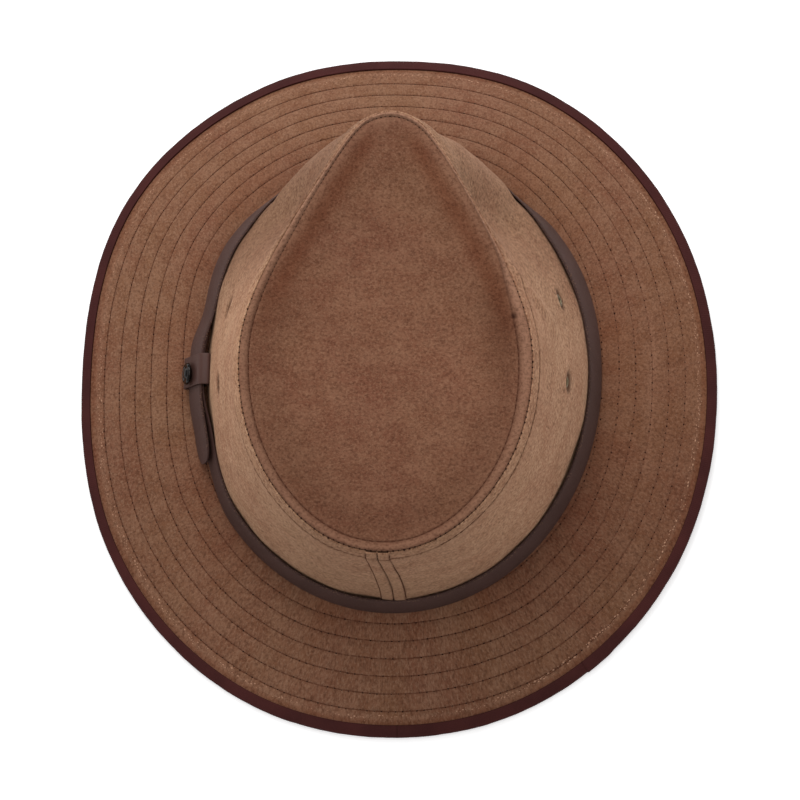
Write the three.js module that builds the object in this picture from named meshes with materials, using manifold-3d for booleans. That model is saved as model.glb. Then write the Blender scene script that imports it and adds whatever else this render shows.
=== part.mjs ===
// A leather bush hat that rests on its brim, in millimetres, with +Z up and the floor at Z = 0.
// The wearer's front is -Y, the back is +Y and the wearer's left is +X.
// A round angle is in degrees: 0 at the back, 90 at the wearer's left, 180 at the front and 270 at the right.
import * as THREE from "three";
import { mergeVertices } from "three/addons/utils/BufferGeometryUtils.js";
import Module from "manifold-3d";

// The crown's foot is an oval, where the wall stands on the brim
const crownFootWidth = 179;
const crownFootLength = 206;
const crownFootRise = 24; // of the oval's middle above the floor
const crownLean = 4.6; // degrees, towards the back
const wallThickness = 2;
const footDent = 4.2; // how far the strap's doubled part presses the foot in, on the wearer's left
const footDentAngle = 87; // round angle of its middle
const footDentFlat = 12; // degrees from its middle within which it is full
const footDentSpan = 38; // degrees from its middle to its end
const wallCurve = 1.2; // power that carries the wall from the foot in to the tip seam, 1 is a straight cone
const wallFrontCurve = 2.1; // the same in front, where the wall stands straighter and then rolls back
const wallFrontAngle = 27; // degrees from the front within which it stands so
const wallFrontFade = 52; // degrees from the front beyond which nothing of it is left

// The crown's tip is a teardrop, narrow in front and dished
const tipWidth = 122;
const tipLength = 182.5;
const tipForward = 6.2; // its middle lies this far ahead of the foot's middle
const tipHeightFront = 110; // of the tip's rim above the foot
const tipHeightSide = 102;
const tipHeightBack = 95.5;
const tipThickness = 2;
const dishDepth = 11;
const dishCurve = 3; // power of the dish, higher is a flatter bottom

// A pinch on each side of the front
const pinchDepth = 9;
const pinchAngle = 48; // degrees from the front
const pinchSpan = 14; // degrees from its middle to where it has faded to a third

// The brim rests at the front and the back and lifts at the sides
const brimReach = 59;
const brimThickness = 1.8;
const brimCurve = 1.35; // power of its fall, 1 is a straight cone
const brimSideLift = 6; // of the right side's edge over the floor

// The tape folded round the brim's edge
const tapeWidth = 5.5;
const tapeThickness = 0.8;
const tapeOverhang = 1.2; // beyond the brim's own edge
const tapeRestShare = 0.72; // height of the brim's edge over the floor as a share of half the bound edge

// The strap round the crown and its free tail on the wearer's left
const bandHeight = 15;
const bandThickness = 1.8;
const bandFlare = 2.2; // its lower edge stands off the wall by this much more than its upper edge
const bandFrontFlare = 0.4; // the same in front, where the strap hugs the wall
const bandInnerEnd = 98; // round angle where the covered end of the strap stops
const bandTailEnd = 66; // round angle of the tail's tip
const tailRampStart = 114; // round angle where the strap starts to rise over its covered end
const tailRampEnd = 100;
const tailPointLength = 9;
const tailPointHeight = 4.5; // of the strap where its rounded tip stops

// The loop round the strap and its tail, with a domed stud on it
const keeperAngle = 90;
const keeperLength = 14;
const keeperThickness = 1.2;
const keeperSlack = 0.5;
const keeperCorner = 1.6;
const studHeadDiameter = 10;
const studHeadHeight = 2.2;
const studNeckDiameter = 5.5;
const studNeckHeight = 0.8;

// The vent eyelets
const eyeletFlangeDiameter = 6.2;
const eyeletBarrelDiameter = 4.2;
const eyeletHoleDiameter = 3;
const eyeletCurlDiameter = 5.4; // of the rolled edge inside the wall
const eyeletSheet = 0.5;

const clearance = 0.3; // between pieces that touch
const steps = 80; // around the hat
const brimRings = 6; // from the crown out to the edge
const wallRings = 8; // from the foot up
const tipRings = 7; // from the rim in
const turn = 360;

// Fullness of the tip's outline: its half width as a share of the plain oval's at that angle, both sides alike
const tipRows = [
  { angle: 0, fullness: 1.08 },
  { angle: 30, fullness: 1.065 },
  { angle: 60, fullness: 1.055 },
  { angle: 80, fullness: 1.02 },
  { angle: 90, fullness: 0.985 },
  { angle: 100, fullness: 0.92 },
  { angle: 110, fullness: 0.84 },
  { angle: 120, fullness: 0.76 },
  { angle: 135, fullness: 0.665 },
  { angle: 150, fullness: 0.62 },
  { angle: 165, fullness: 0.645 },
  { angle: 180, fullness: 0.66 },
];

// The brim seen from above reaches out by a share of brimReach, less in front where it slopes most, and its edge lifts
// off the floor by a share of brimSideLift: it lies on the floor at the front and the back.
const brimRows = [
  { angle: 0, reach: 0.971, lift: 0 },
  { angle: 30, reach: 0.999, lift: 0 },
  { angle: 60, reach: 0.989, lift: 0.1 },
  { angle: 90, reach: 0.921, lift: 0.35 },
  { angle: 120, reach: 1.012, lift: 0.1 },
  { angle: 150, reach: 0.947, lift: 0 },
  { angle: 180, reach: 0.88, lift: 0 },
  { angle: 210, reach: 0.952, lift: 0 },
  { angle: 240, reach: 0.973, lift: 0.45 },
  { angle: 270, reach: 0.958, lift: 1 },
  { angle: 300, reach: 1.001, lift: 0.45 },
  { angle: 330, reach: 0.994, lift: 0 },
  { angle: 360, reach: 0.971, lift: 0 },
];

// Height of each eyelet as a share of the wall's height
const eyeletRows = [
  { name: "eyelet_left_front", angle: 102, height: 0.46 },
  { name: "eyelet_left_back", angle: 81.5, height: 0.51 },
  { name: "eyelet_right_front", angle: 253.5, height: 0.41 },
  { name: "eyelet_right_back", angle: 275.5, height: 0.49 },
];

const suede = new THREE.MeshStandardMaterial({ color: 0x7a5640, roughness: 0.95 });
const wallSuede = new THREE.MeshStandardMaterial({ color: 0x8d6b53, roughness: 0.95 });
const tape = new THREE.MeshStandardMaterial({ color: 0x3c2420, roughness: 0.8 });
const strapLeather = new THREE.MeshStandardMaterial({ color: 0x3f2e2a, roughness: 0.5 });
const studMetal = new THREE.MeshStandardMaterial({ color: 0x1c1816, roughness: 0.3, metalness: 0.9 });
const eyeletMetal = new THREE.MeshStandardMaterial({ color: 0x6f6a5c, roughness: 0.4, metalness: 0.9 });

const radians = THREE.MathUtils.degToRad;
const lerp = THREE.MathUtils.lerp;

// 0 before start, 1 after end, and a smooth step between them; start may lie above end.
function ease(value, start, end) {
  const x = THREE.MathUtils.clamp((value - start) / (end - start), 0, 1);
  return x * x * (3 - 2 * x);
}

// The round angle in 0 to 180 that lies on the same place of the wearer's left half.
function folded(angle) {
  const whole = THREE.MathUtils.euclideanModulo(angle, turn);
  return Math.min(whole, turn - whole);
}

// A smooth curve through a column of a table: a cubic between rows, with each row's slope taken across its neighbours.
// With closed set, the last row is the first row again; otherwise the slope is flat at both ends.
function smoothColumn(rows, column, angle, closed) {
  const last = rows.length - 1;
  const at = THREE.MathUtils.clamp(angle, rows[0].angle, rows[last].angle);
  let i = 0;
  while (i < last - 1 && at > rows[i + 1].angle) i += 1;
  const slope = (k) => {
    if (k > 0 && k < last) {
      return (rows[k + 1][column] - rows[k - 1][column]) / (rows[k + 1].angle - rows[k - 1].angle);
    }
    if (!closed) return 0;
    const span = rows[1].angle - rows[0].angle + rows[last].angle - rows[last - 1].angle;
    return (rows[1][column] - rows[last - 1][column]) / span;
  };
  const width = rows[i + 1].angle - rows[i].angle;
  const x = (at - rows[i].angle) / width;
  const startShare = (1 + 2 * x) * (1 - x) * (1 - x);
  const endShare = x * x * (3 - 2 * x);
  const bend = width * x * (1 - x) * ((1 - x) * slope(i) - x * slope(i + 1));
  return startShare * rows[i][column] + endShare * rows[i + 1][column] + bend;
}

// The plain foot oval at a round angle, in the crown's own frame.
function ovalPoint(angle) {
  const a = radians(angle);
  return new THREE.Vector3((crownFootWidth / 2) * Math.sin(a), (crownFootLength / 2) * Math.cos(a), 0);
}

// The level outward direction of the foot oval.
function footOutward(angle) {
  const a = radians(angle);
  return new THREE.Vector3(Math.sin(a) / crownFootWidth, Math.cos(a) / crownFootLength, 0).normalize();
}

// The foot of the wall: the oval, pressed in behind the strap's doubled part, and set in by an inset.
function footPoint(angle, inset) {
  const away = Math.abs(THREE.MathUtils.euclideanModulo(angle, turn) - footDentAngle);
  const dent = footDent * (1 - ease(away, footDentFlat, footDentSpan));
  return ovalPoint(angle).addScaledVector(footOutward(angle), -dent - inset);
}

function tipHeight(angle) {
  const c = Math.cos(radians(angle));
  const slope = (tipHeightFront - tipHeightBack) / 2;
  const bow = (tipHeightFront + tipHeightBack) / 2 - tipHeightSide;
  return tipHeightSide - slope * c + bow * c * c;
}

// The tip's rim in the crown's frame: an oval narrowed by the fullness column.
function tipRim(angle) {
  const a = radians(angle);
  const fullness = smoothColumn(tipRows, "fullness", folded(angle), false);
  return new THREE.Vector3(
    (tipWidth / 2) * Math.sin(a) * fullness,
    (tipLength / 2) * Math.cos(a) - tipForward,
    tipHeight(angle),
  );
}

// The top face of the tip: the rim shrunk towards its middle by share, and sunk by the dish.
function tipPoint(angle, share) {
  const rim = tipRim(angle);
  const middle = new THREE.Vector3(0, -tipForward, tipHeightSide);
  const point = rim.lerp(middle, share);
  point.z -= dishDepth * (1 - Math.pow(1 - share, dishCurve));
  return point;
}

// The outer face of the wall at a share of its height; it runs from the foot oval to the tip's rim.
function wallPoint(angle, share) {
  const fromFront = turn / 2 - folded(angle);
  const curve = lerp(wallFrontCurve, wallCurve, ease(fromFront, wallFrontAngle, wallFrontFade));
  const point = footPoint(angle, 0).lerp(tipRim(angle), Math.pow(share, curve));
  point.z = wallHeight(angle) * share;
  const across = (fromFront - pinchAngle) / pinchSpan;
  const along = (share * share * (1 - share)) / (4 / 27); // 1 at two thirds of the height
  return point.addScaledVector(footOutward(angle), -pinchDepth * Math.exp(-across * across) * along);
}

// The wall ends under the tip's edge.
function wallHeight(angle) {
  return tipHeight(angle) - tipThickness - clearance;
}

// Position, outward normal and up direction on the wall's outer face, from its slopes in both directions.
function wallFrame(angle, share) {
  const nearby = 0.5;
  const nearShare = 0.01;
  const at = wallPoint(angle, share);
  const around = wallPoint(angle + nearby, share).sub(wallPoint(angle - nearby, share));
  const above = wallPoint(angle, Math.min(share + nearShare, 1));
  const up = above.sub(wallPoint(angle, Math.max(share - nearShare, 0))).normalize();
  const outward = up.clone().cross(around).normalize();
  return { at, outward, up };
}

// The crown's frame leans back over the brim.
const crown = new THREE.Group();
crown.rotation.x = -radians(crownLean);
crown.position.z = crownFootRise;
crown.updateMatrix();

function brimColumn(column, angle) {
  return smoothColumn(brimRows, column, THREE.MathUtils.euclideanModulo(angle, turn), true);
}

// Height over the floor of the middle of the brim's edge.
function brimEdgeHeight(angle) {
  const bound = brimThickness / 2 + clearance + tapeThickness;
  return tapeRestShare * bound + brimSideLift * Math.max(0, brimColumn("lift", angle));
}

// The top face of the brim, from its inner edge under the wall (share 0) out to its edge (share 1), falling on a power.
function brimTop(angle, share) {
  const inner = footPoint(angle, wallThickness);
  inner.z = -clearance;
  inner.applyMatrix4(crown.matrix);
  const oval = ovalPoint(angle);
  const edge = oval.clone().setLength(oval.length() + brimReach * brimColumn("reach", angle));
  const edgeZ = brimEdgeHeight(angle) + brimThickness / 2;
  const z = lerp(inner.z, edgeZ, Math.pow(share, brimCurve));
  return new THREE.Vector3(lerp(inner.x, edge.x, share), lerp(inner.y, edge.y, share), z);
}

// Directions on the brim: along its edge, out and down its slope, and up out of its face.
function brimFrame(angle, share) {
  const nearby = 0.5;
  const nearShare = 0.01;
  const along = brimTop(angle + nearby, share).sub(brimTop(angle - nearby, share)).normalize();
  const outer = brimTop(angle, Math.min(share + nearShare, 1));
  const out = outer.sub(brimTop(angle, Math.max(share - nearShare, 0)));
  out.addScaledVector(along, -out.dot(along)).normalize();
  const up = along.clone().cross(out).normalize();
  return { out, up };
}

// How far the brim has fallen below the crown's foot at a distance outside the foot oval.
function brimFall(angle, distance) {
  const inner = brimTop(angle, 0);
  const edge = brimTop(angle, 1);
  const span = Math.hypot(edge.x - inner.x, edge.y - inner.y);
  return (inner.z - edge.z) * Math.pow((distance + wallThickness) / span, brimCurve);
}

// 1 where the keeper passes behind and under the strap, fading to 0 on both sides.
function keeperRoom(angle) {
  const away = Math.abs(THREE.MathUtils.euclideanModulo(angle, turn) - keeperAngle);
  const half = THREE.MathUtils.radToDeg(keeperLength / crownFootLength);
  return 1 - ease(away, 1.3 * half, 4 * half);
}

// A point of the strap. Its progress is a round angle, a whole turn less on the tail than on the covered end, height
// is a share of the strap's height and depth is measured outwards from its inner face.
function bandPoint(progress, height, depth) {
  const room = keeperRoom(progress);
  const foot = room * (keeperThickness + keeperSlack) - brimFall(progress, bandFlare);
  const z = foot + bandHeight * height;
  const point = wallPoint(progress, Math.max(z, 0) / wallHeight(progress)).setZ(z);
  const overlap = 1 - ease(progress, tailRampEnd - turn, tailRampStart - turn);
  const flare = lerp(bandFlare, bandFrontFlare, ease(folded(progress), 100, 150));
  const offset =
    clearance +
    flare * (1 - height) +
    room * (keeperThickness + clearance) +
    overlap * (bandThickness + clearance) +
    depth;
  return point.addScaledVector(footOutward(progress), offset);
}

// A closed solid from sections that follow each other round the hat. Each section is a list of points that goes
// round counter-clockwise, seen with the outward direction to the right. Points that meet are joined.
function sectionSolid(sections, closed) {
  const size = sections[0].length;
  const faces = [];
  const addFace = (a, b, c) => {
    const near = 1e-6;
    if (a.distanceTo(b) > near && b.distanceTo(c) > near && c.distanceTo(a) > near) faces.push(a, b, c);
  };
  const count = closed ? sections.length : sections.length - 1;
  for (let i = 0; i < count; i += 1) {
    const here = sections[i];
    const next = sections[(i + 1) % sections.length];
    for (let j = 0; j < size; j += 1) {
      const k = (j + 1) % size;
      addFace(here[j], here[k], next[k]);
      addFace(here[j], next[k], next[j]);
    }
  }
  if (!closed) {
    const first = sections[0];
    const last = sections[sections.length - 1];
    for (let j = 1; j < size - 1; j += 1) {
      addFace(first[0], first[j + 1], first[j]);
      addFace(last[0], last[j], last[j + 1]);
    }
  }
  return mergeVertices(new THREE.BufferGeometry().setFromPoints(faces), 1e-4);
}

// Shares from 0 to 1 in equal parts.
function shares(parts) {
  return Array.from({ length: parts + 1 }, (_, i) => i / parts);
}

// The round angles of the sections, one step apart.
const roundAngles = Array.from({ length: steps }, (_, i) => (i * turn) / steps);

function makeBrim() {
  const sections = roundAngles.map((angle) => {
    const top = shares(brimRings).map((share) => brimTop(angle, share));
    const under = shares(brimRings).map((share) => {
      return brimTop(angle, share).addScaledVector(brimFrame(angle, share).up, -brimThickness);
    });
    return [...under, ...top.reverse()];
  });
  return sectionSolid(sections, true);
}

// A folded tape: two sides on the brim's faces, joined by a rounded edge. Nothing of it reaches below the floor.
function makeBinding() {
  const channel = brimThickness / 2 + clearance;
  const half = channel + tapeThickness;
  const profile = [
    [-tapeWidth, -half],
    [0.5 * tapeOverhang, -half],
    [tapeOverhang, -0.667 * half],
    [tapeOverhang, 0.5 * half],
    [0.5 * tapeOverhang, half],
    [-tapeWidth, half],
    [-tapeWidth, channel],
    [clearance, channel],
    [clearance, -channel],
    [-tapeWidth, -channel],
  ];
  const sections = roundAngles.map((angle) => {
    const { out, up } = brimFrame(angle, 1);
    const middle = brimTop(angle, 1).addScaledVector(up, -brimThickness / 2);
    return profile.map(([x, y]) => {
      const point = middle.clone().addScaledVector(out, x).addScaledVector(up, y);
      point.z = Math.max(point.z, 0);
      return point;
    });
  });
  return sectionSolid(sections, true);
}

const wasm = await Module();
wasm.setup();

// A geometry, with its mesh's place applied, as a solid that can be cut.
function solidFrom(geometry) {
  const merged = geometry.clone();
  merged.deleteAttribute("normal");
  merged.deleteAttribute("uv");
  const joined = mergeVertices(merged, 1e-4);
  return new wasm.Manifold(
    new wasm.Mesh({
      numProp: 3,
      vertProperties: new Float32Array(joined.attributes.position.array),
      triVerts: new Uint32Array(joined.index.array),
    }),
  );
}

function geometryFrom(solid) {
  const { vertProperties, triVerts } = solid.getMesh();
  const geometry = new THREE.BufferGeometry();
  geometry.setAttribute("position", new THREE.BufferAttribute(vertProperties, 3));
  geometry.setIndex(new THREE.BufferAttribute(triVerts, 1));
  return geometry;
}

// The matrix that stands a turned piece on the wall, with its own Y axis pointing out of the wall.
function wallPlace(angle, share) {
  const { at, outward, up } = wallFrame(angle, share);
  const around = outward.clone().cross(up);
  return new THREE.Matrix4().makeBasis(around, outward, up).setPosition(at);
}

function makeWall() {
  const rows = shares(wallRings);
  const sections = roundAngles.map((angle) => {
    const outer = rows.map((share) => wallPoint(angle, share));
    const inner = rows.map((share) => {
      const { at, outward } = wallFrame(angle, share);
      return at.addScaledVector(outward, -wallThickness);
    });
    inner[0] = footPoint(angle, wallThickness);
    const top = tipPoint(angle, wallThickness / tipRim(angle).setZ(0).length());
    inner[inner.length - 1] = top.setZ(top.z - tipThickness - clearance);
    return [...outer, ...inner.reverse()];
  });
  let wall = solidFrom(sectionSolid(sections, true));
  for (const row of eyeletRows) {
    const drill = new THREE.CylinderGeometry(
      eyeletBarrelDiameter / 2 + clearance,
      eyeletBarrelDiameter / 2 + clearance,
      6 * wallThickness,
      16,
    );
    wall = wall.subtract(solidFrom(drill.applyMatrix4(wallPlace(row.angle, row.height))));
  }
  return geometryFrom(wall);
}

function makeTip() {
  const sections = roundAngles.map((angle) => {
    const top = shares(tipRings).map((share) => tipPoint(angle, share));
    const under = top.map((point) => point.clone().setZ(point.z - tipThickness));
    return [...under.reverse(), ...top];
  });
  return sectionSolid(sections, true);
}

// The strap runs from its tail tip, on the outside, once round the hat to its covered end.
function makeBand() {
  const start = bandTailEnd - turn;
  const pointSpan = THREE.MathUtils.radToDeg(tailPointLength / (crownFootLength / 2));
  const narrowest = tailPointHeight / bandHeight;
  const pointSteps = shares(4).map((share) => start + pointSpan * share);
  const parts = Math.round((steps * (bandInnerEnd - start - pointSpan)) / turn);
  const rest = shares(parts).map((share) => lerp(start + pointSpan, bandInnerEnd, share));
  const sections = [...pointSteps, ...rest.slice(1)].map((progress) => {
    const x = Math.max(0, 1 - (progress - start) / pointSpan);
    const full = lerp(narrowest, 1, Math.sqrt(1 - x * x));
    const low = (1 - full) / 2;
    return [
      bandPoint(progress, low, 0),
      bandPoint(progress, low, bandThickness),
      bandPoint(progress, 1 - low, bandThickness),
      bandPoint(progress, 1 - low, 0),
    ];
  });
  return sectionSolid(sections, false);
}

// The keeper's place on the strap and its tail: level outwards, up the strap's leaning face and along the strap.
function keeperPlace() {
  const tail = keeperAngle - turn;
  const middle = bandPoint(keeperAngle, 0.5, 0).lerp(bandPoint(tail, 0.5, bandThickness), 0.5);
  const up = bandPoint(tail, 1, 0).sub(bandPoint(tail, 0, 0));
  const height = up.length();
  up.normalize();
  const level = footOutward(keeperAngle);
  const along = level.clone().cross(up).normalize();
  const outward = up.clone().cross(along);
  return { middle, height, level, up, along, outward };
}

function roundedRectangle(path, width, height, corner) {
  const x = width / 2;
  const y = height / 2;
  path.moveTo(x - corner, -y);
  path.absarc(x - corner, -y + corner, corner, -Math.PI / 2, 0, false);
  path.absarc(x - corner, y - corner, corner, 0, Math.PI / 2, false);
  path.absarc(-x + corner, y - corner, corner, Math.PI / 2, Math.PI, false);
  path.absarc(-x + corner, -y + corner, corner, Math.PI, 1.5 * Math.PI, false);
  path.closePath();
  return path;
}

const keeper = keeperPlace();
const keeperInside = 2 * bandThickness + clearance + 2 * keeperSlack;

function makeKeeper() {
  const innerHeight = keeper.height + 2 * keeperSlack;
  const walls = 2 * keeperThickness;
  const shape = roundedRectangle(new THREE.Shape(), keeperInside + walls, innerHeight + walls, keeperCorner);
  const innerCorner = keeperCorner - keeperThickness;
  shape.holes.push(roundedRectangle(new THREE.Path(), keeperInside, innerHeight, innerCorner));
  const loop = new THREE.ExtrudeGeometry(shape, { depth: keeperLength, bevelEnabled: false, curveSegments: 4 });
  loop.translate(0, 0, -keeperLength / 2);
  const slanted = new THREE.Matrix4().makeBasis(keeper.level, keeper.up, keeper.along);
  return loop.applyMatrix4(slanted.setPosition(keeper.middle));
}

// A neck and a domed head, turned about the Y axis and standing on Y = 0.
function makeStud() {
  const head = studHeadDiameter / 2;
  const neck = studNeckDiameter / 2;
  const lip = 0.25 * studHeadHeight;
  const dome = shares(5).map((share) => {
    const a = (share * Math.PI) / 2;
    return new THREE.Vector2(head * Math.cos(a), studNeckHeight + lip + (studHeadHeight - lip) * Math.sin(a));
  });
  dome[dome.length - 1].x = 0;
  const profile = [
    new THREE.Vector2(0, 0),
    new THREE.Vector2(neck, 0),
    new THREE.Vector2(neck, studNeckHeight),
    new THREE.Vector2(head, studNeckHeight),
    ...dome,
  ];
  return new THREE.LatheGeometry(profile, 20);
}

// A flange outside the wall, a barrel through it and a rolled edge inside; Y = 0 is the wall's outer face.
function makeEyelet() {
  const hole = eyeletHoleDiameter / 2;
  const barrel = eyeletBarrelDiameter / 2;
  const flange = eyeletFlangeDiameter / 2;
  const curl = eyeletCurlDiameter / 2;
  const inside = -wallThickness - clearance;
  const profile = [
    [hole, inside - eyeletSheet],
    [curl, inside - eyeletSheet],
    [curl, inside],
    [barrel, inside],
    [barrel, clearance],
    [flange, clearance],
    [flange - 0.5 * eyeletSheet, clearance + eyeletSheet],
    [hole, clearance + eyeletSheet],
    [hole, inside - eyeletSheet],
  ].map(([x, y]) => new THREE.Vector2(x, y));
  return new THREE.LatheGeometry(profile, 16);
}

function addMesh(parent, name, geometry, material, matrix) {
  const mesh = new THREE.Mesh(geometry, material);
  mesh.name = name;
  if (matrix) mesh.applyMatrix4(matrix);
  parent.add(mesh);
}

const hat = new THREE.Group();
addMesh(hat, "brim", makeBrim(), suede);
addMesh(hat, "brim_binding", makeBinding(), tape);
addMesh(crown, "crown_side", makeWall(), wallSuede);
addMesh(crown, "crown_tip", makeTip(), suede);
addMesh(crown, "hat_band", makeBand(), strapLeather);

addMesh(crown, "band_keeper", makeKeeper(), strapLeather);

// The stud stands on the middle of the keeper's outer side, with its own Y axis pointing out.
const studFoot = keeper.middle.clone();
studFoot.addScaledVector(keeper.level, keeperInside / 2 + keeperThickness);
studFoot.addScaledVector(keeper.outward, clearance);
const studPlace = new THREE.Matrix4().makeBasis(keeper.up, keeper.outward, keeper.along.clone().negate());
addMesh(crown, "keeper_stud", makeStud(), studMetal, studPlace.setPosition(studFoot));

for (const row of eyeletRows) {
  addMesh(crown, row.name, makeEyelet(), eyeletMetal, wallPlace(row.angle, row.height));
}
hat.add(crown);

// The origin is on the floor under the middle of the whole hat.
const middle = new THREE.Box3().setFromObject(hat, true).getCenter(new THREE.Vector3());
hat.position.set(-middle.x, -middle.y, 0);

export default hat;
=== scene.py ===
# %% [markdown]
# A leather bush hat, dressed for its picture. The hard facts of the hat (where each piece is, how big it
# is) come ready made in a frame of plain solids. This lesson builds the surfaces that the eye sees on top
# of them: suede with its nap, sewing, ribbed tape, a smooth strap and small metal fittings. Everything is
# in metres, Z is up, the wearer's front is -Y and the wearer's left is +X.

import bpy
import numpy as np
from mathutils import Matrix, Vector


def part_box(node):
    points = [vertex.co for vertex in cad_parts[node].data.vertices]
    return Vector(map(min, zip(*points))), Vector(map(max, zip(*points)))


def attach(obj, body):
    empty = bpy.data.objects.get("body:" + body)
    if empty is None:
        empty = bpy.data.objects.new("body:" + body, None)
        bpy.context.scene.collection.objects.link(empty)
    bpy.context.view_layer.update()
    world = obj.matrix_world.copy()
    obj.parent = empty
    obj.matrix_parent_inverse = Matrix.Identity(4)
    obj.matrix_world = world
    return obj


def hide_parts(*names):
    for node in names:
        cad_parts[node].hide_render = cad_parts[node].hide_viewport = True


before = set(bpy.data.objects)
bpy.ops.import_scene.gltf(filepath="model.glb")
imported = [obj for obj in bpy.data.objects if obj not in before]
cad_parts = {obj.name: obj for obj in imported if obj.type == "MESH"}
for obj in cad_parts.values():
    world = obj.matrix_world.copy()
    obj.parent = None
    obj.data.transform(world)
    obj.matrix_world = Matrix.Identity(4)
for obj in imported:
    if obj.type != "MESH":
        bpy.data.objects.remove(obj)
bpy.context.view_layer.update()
print("solids:", sorted(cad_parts))

# %% [markdown]
# Every curve of the hat hangs on a few sizes that a hatter would name: the oval that goes round the head,
# the teardrop tip, the height of the crown, the reach of the brim. The numbers below are those of the
# solids, so that a surface worked out from them lies where its solid lies. Two short tables hold what no
# formula gives: how full the tip is at each round angle, and how far the brim reaches and lifts. A round
# angle is in degrees: 0 at the back, 90 at the wearer's left, 180 in front.

# %% Name the sizes of the hat
TURN = 360.0
crown_foot_width = 0.179
crown_foot_length = 0.206
crown_foot_rise = 0.024
crown_lean = 4.6
wall_thickness = 0.002
foot_dent = 0.0042
foot_dent_angle = 87
foot_dent_flat = 12
foot_dent_span = 38
wall_curve = 1.2
wall_front_curve = 2.1
wall_front_angle = 27
wall_front_fade = 52
tip_width = 0.122
tip_length = 0.1825
tip_forward = 0.0062
tip_aside = 0.0005
tip_height_front = 0.110
tip_height_side = 0.102
tip_height_back = 0.0955
tip_thickness = 0.002
dish_depth = 0.011
dish_curve = 3
pinch_depth = 0.009
pinch_angle = 48
pinch_span = 14
brim_reach = 0.059
brim_thickness = 0.0018
brim_curve = 1.35
brim_side_lift = 0.006
tape_thickness = 0.0008
tape_overhang = 0.0012
tape_rest_share = 0.72
clearance = 0.0003

TIP_ROWS = {
    "angle": [0, 30, 60, 80, 90, 100, 110, 120, 135, 150, 165, 180],
    "fullness": [1.08, 1.065, 1.055, 1.02, 0.985, 0.92, 0.84, 0.76, 0.665, 0.62, 0.645, 0.66],
}
BRIM_ROWS = {
    "angle": [0, 30, 60, 90, 120, 150, 180, 210, 240, 270, 300, 330, 360],
    "reach": [0.971, 0.999, 0.989, 0.921, 1.012, 0.947, 0.88, 0.952, 0.973, 0.958, 1.001, 0.994, 0.971],
    "lift": [0, 0, 0.1, 0.35, 0.1, 0, 0, 0, 0.45, 1, 0.45, 0, 0],
}
print("head oval", crown_foot_width, "x", crown_foot_length, "m, brim reach", brim_reach, "m")

# %% [markdown]
# A shape here is a function of two numbers, a round angle and a share of the way along, and it is worked
# out for whole arrays at once. That is quicker than placing vertices one by one, and the same function
# can be asked again for a stitch, a groove or an eyelet that sits on it. Small helpers come first: a soft
# step, a bell, the mirror of an angle onto one half of the hat, a smooth curve through a column of a
# table, and a soft random wave.


# %% Make the helpers for curves and points
def ease(value, start, end):
    """Zero before start, one after end, and 3x^2 - 2x^3 between them; start may lie above end."""
    x = np.clip((value - start) / (end - start), 0, 1)
    return x * x * (3 - 2 * x)


def bell(value, middle, width):
    """One at the middle, falling as exp(-x^2), where x is the distance from the middle in widths."""
    return np.exp(-(((value - middle) / width) ** 2))


def folded(angle):
    """The round angle from 0 to 180 at the same place of the wearer's left half."""
    whole = np.mod(angle, TURN)
    return np.minimum(whole, TURN - whole)


def turned(angle, middle):
    """The signed difference of two round angles, from -180 to 180."""
    return np.mod(angle - middle + TURN / 2, TURN) - TURN / 2


def smooth_column(rows, column, angle, closed=False):
    """A cubic between the rows of a table, whose slope at each row is that across its two neighbours."""
    x = np.array(rows["angle"], float)
    y = np.array(rows[column], float)
    slope = np.zeros(len(x))
    slope[1:-1] = (y[2:] - y[:-2]) / (x[2:] - x[:-2])
    if closed:
        slope[[0, -1]] = (y[1] - y[-2]) / (x[1] - x[0] + x[-1] - x[-2])
    at = np.clip(angle, x[0], x[-1])
    i = np.searchsorted(x[1:-1], at, side="left")
    width = x[i + 1] - x[i]
    t = (at - x[i]) / width
    value = (1 + 2 * t) * (1 - t) ** 2 * y[i] + t * t * (3 - 2 * t) * y[i + 1]
    return value + width * t * (1 - t) * ((1 - t) * slope[i] - t * slope[i + 1])


def round_patches(angle, rows):
    """A sum of bells round the hat: each row of the table has an angle, a span in degrees and a
    strength."""
    patches = zip(rows["angle"], rows["span"], rows["strength"])
    return sum(strength * bell(turned(angle, middle), 0, span) for middle, span, strength in patches)


def point(x, y, z):
    """Coordinates put together as points, along the last axis."""
    return np.stack(np.broadcast_arrays(x, y, z), -1).astype(float)


def unit(vector):
    """Each vector over its own length."""
    return vector / np.maximum(np.linalg.norm(vector, axis=-1, keepdims=True), 1e-12)


def waves(along, seed, count=7, longest=0.12):
    """A soft random wave, about -1 to 1: a sum of sines whose lengths halve from the longest."""
    draw = np.random.default_rng(seed)
    total = np.zeros(np.shape(along))
    for i in range(count):
        total += 0.75**i * np.sin(2 * np.pi * along / longest * 1.7**i + draw.uniform(0, 2 * np.pi))
    return total / 2.2


print("half way up a soft step:", ease(0.5, 0, 1))

# %% [markdown]
# The crown is a wall of suede that leans in from the head oval to the rim of the tip. It is straight
# behind and rolls back in front, with a pinch pressed in on each side, and a shallow dent where the
# doubled strap presses on it. The tip is the rim shrunk towards its middle and sunk as a dish. The crown
# as a whole leans back, so its points are turned about the X axis before they join the hat.


# %% Describe the crown
def oval(angle):
    """The head oval: half its width times the sine of the angle, and half its length times the cosine."""
    a = np.radians(angle)
    return point(crown_foot_width / 2 * np.sin(a), crown_foot_length / 2 * np.cos(a), 0)


def foot_outward(angle):
    """The level direction out of the head oval."""
    a = np.radians(angle)
    return unit(point(np.sin(a) / crown_foot_width, np.cos(a) / crown_foot_length, 0))


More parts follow.
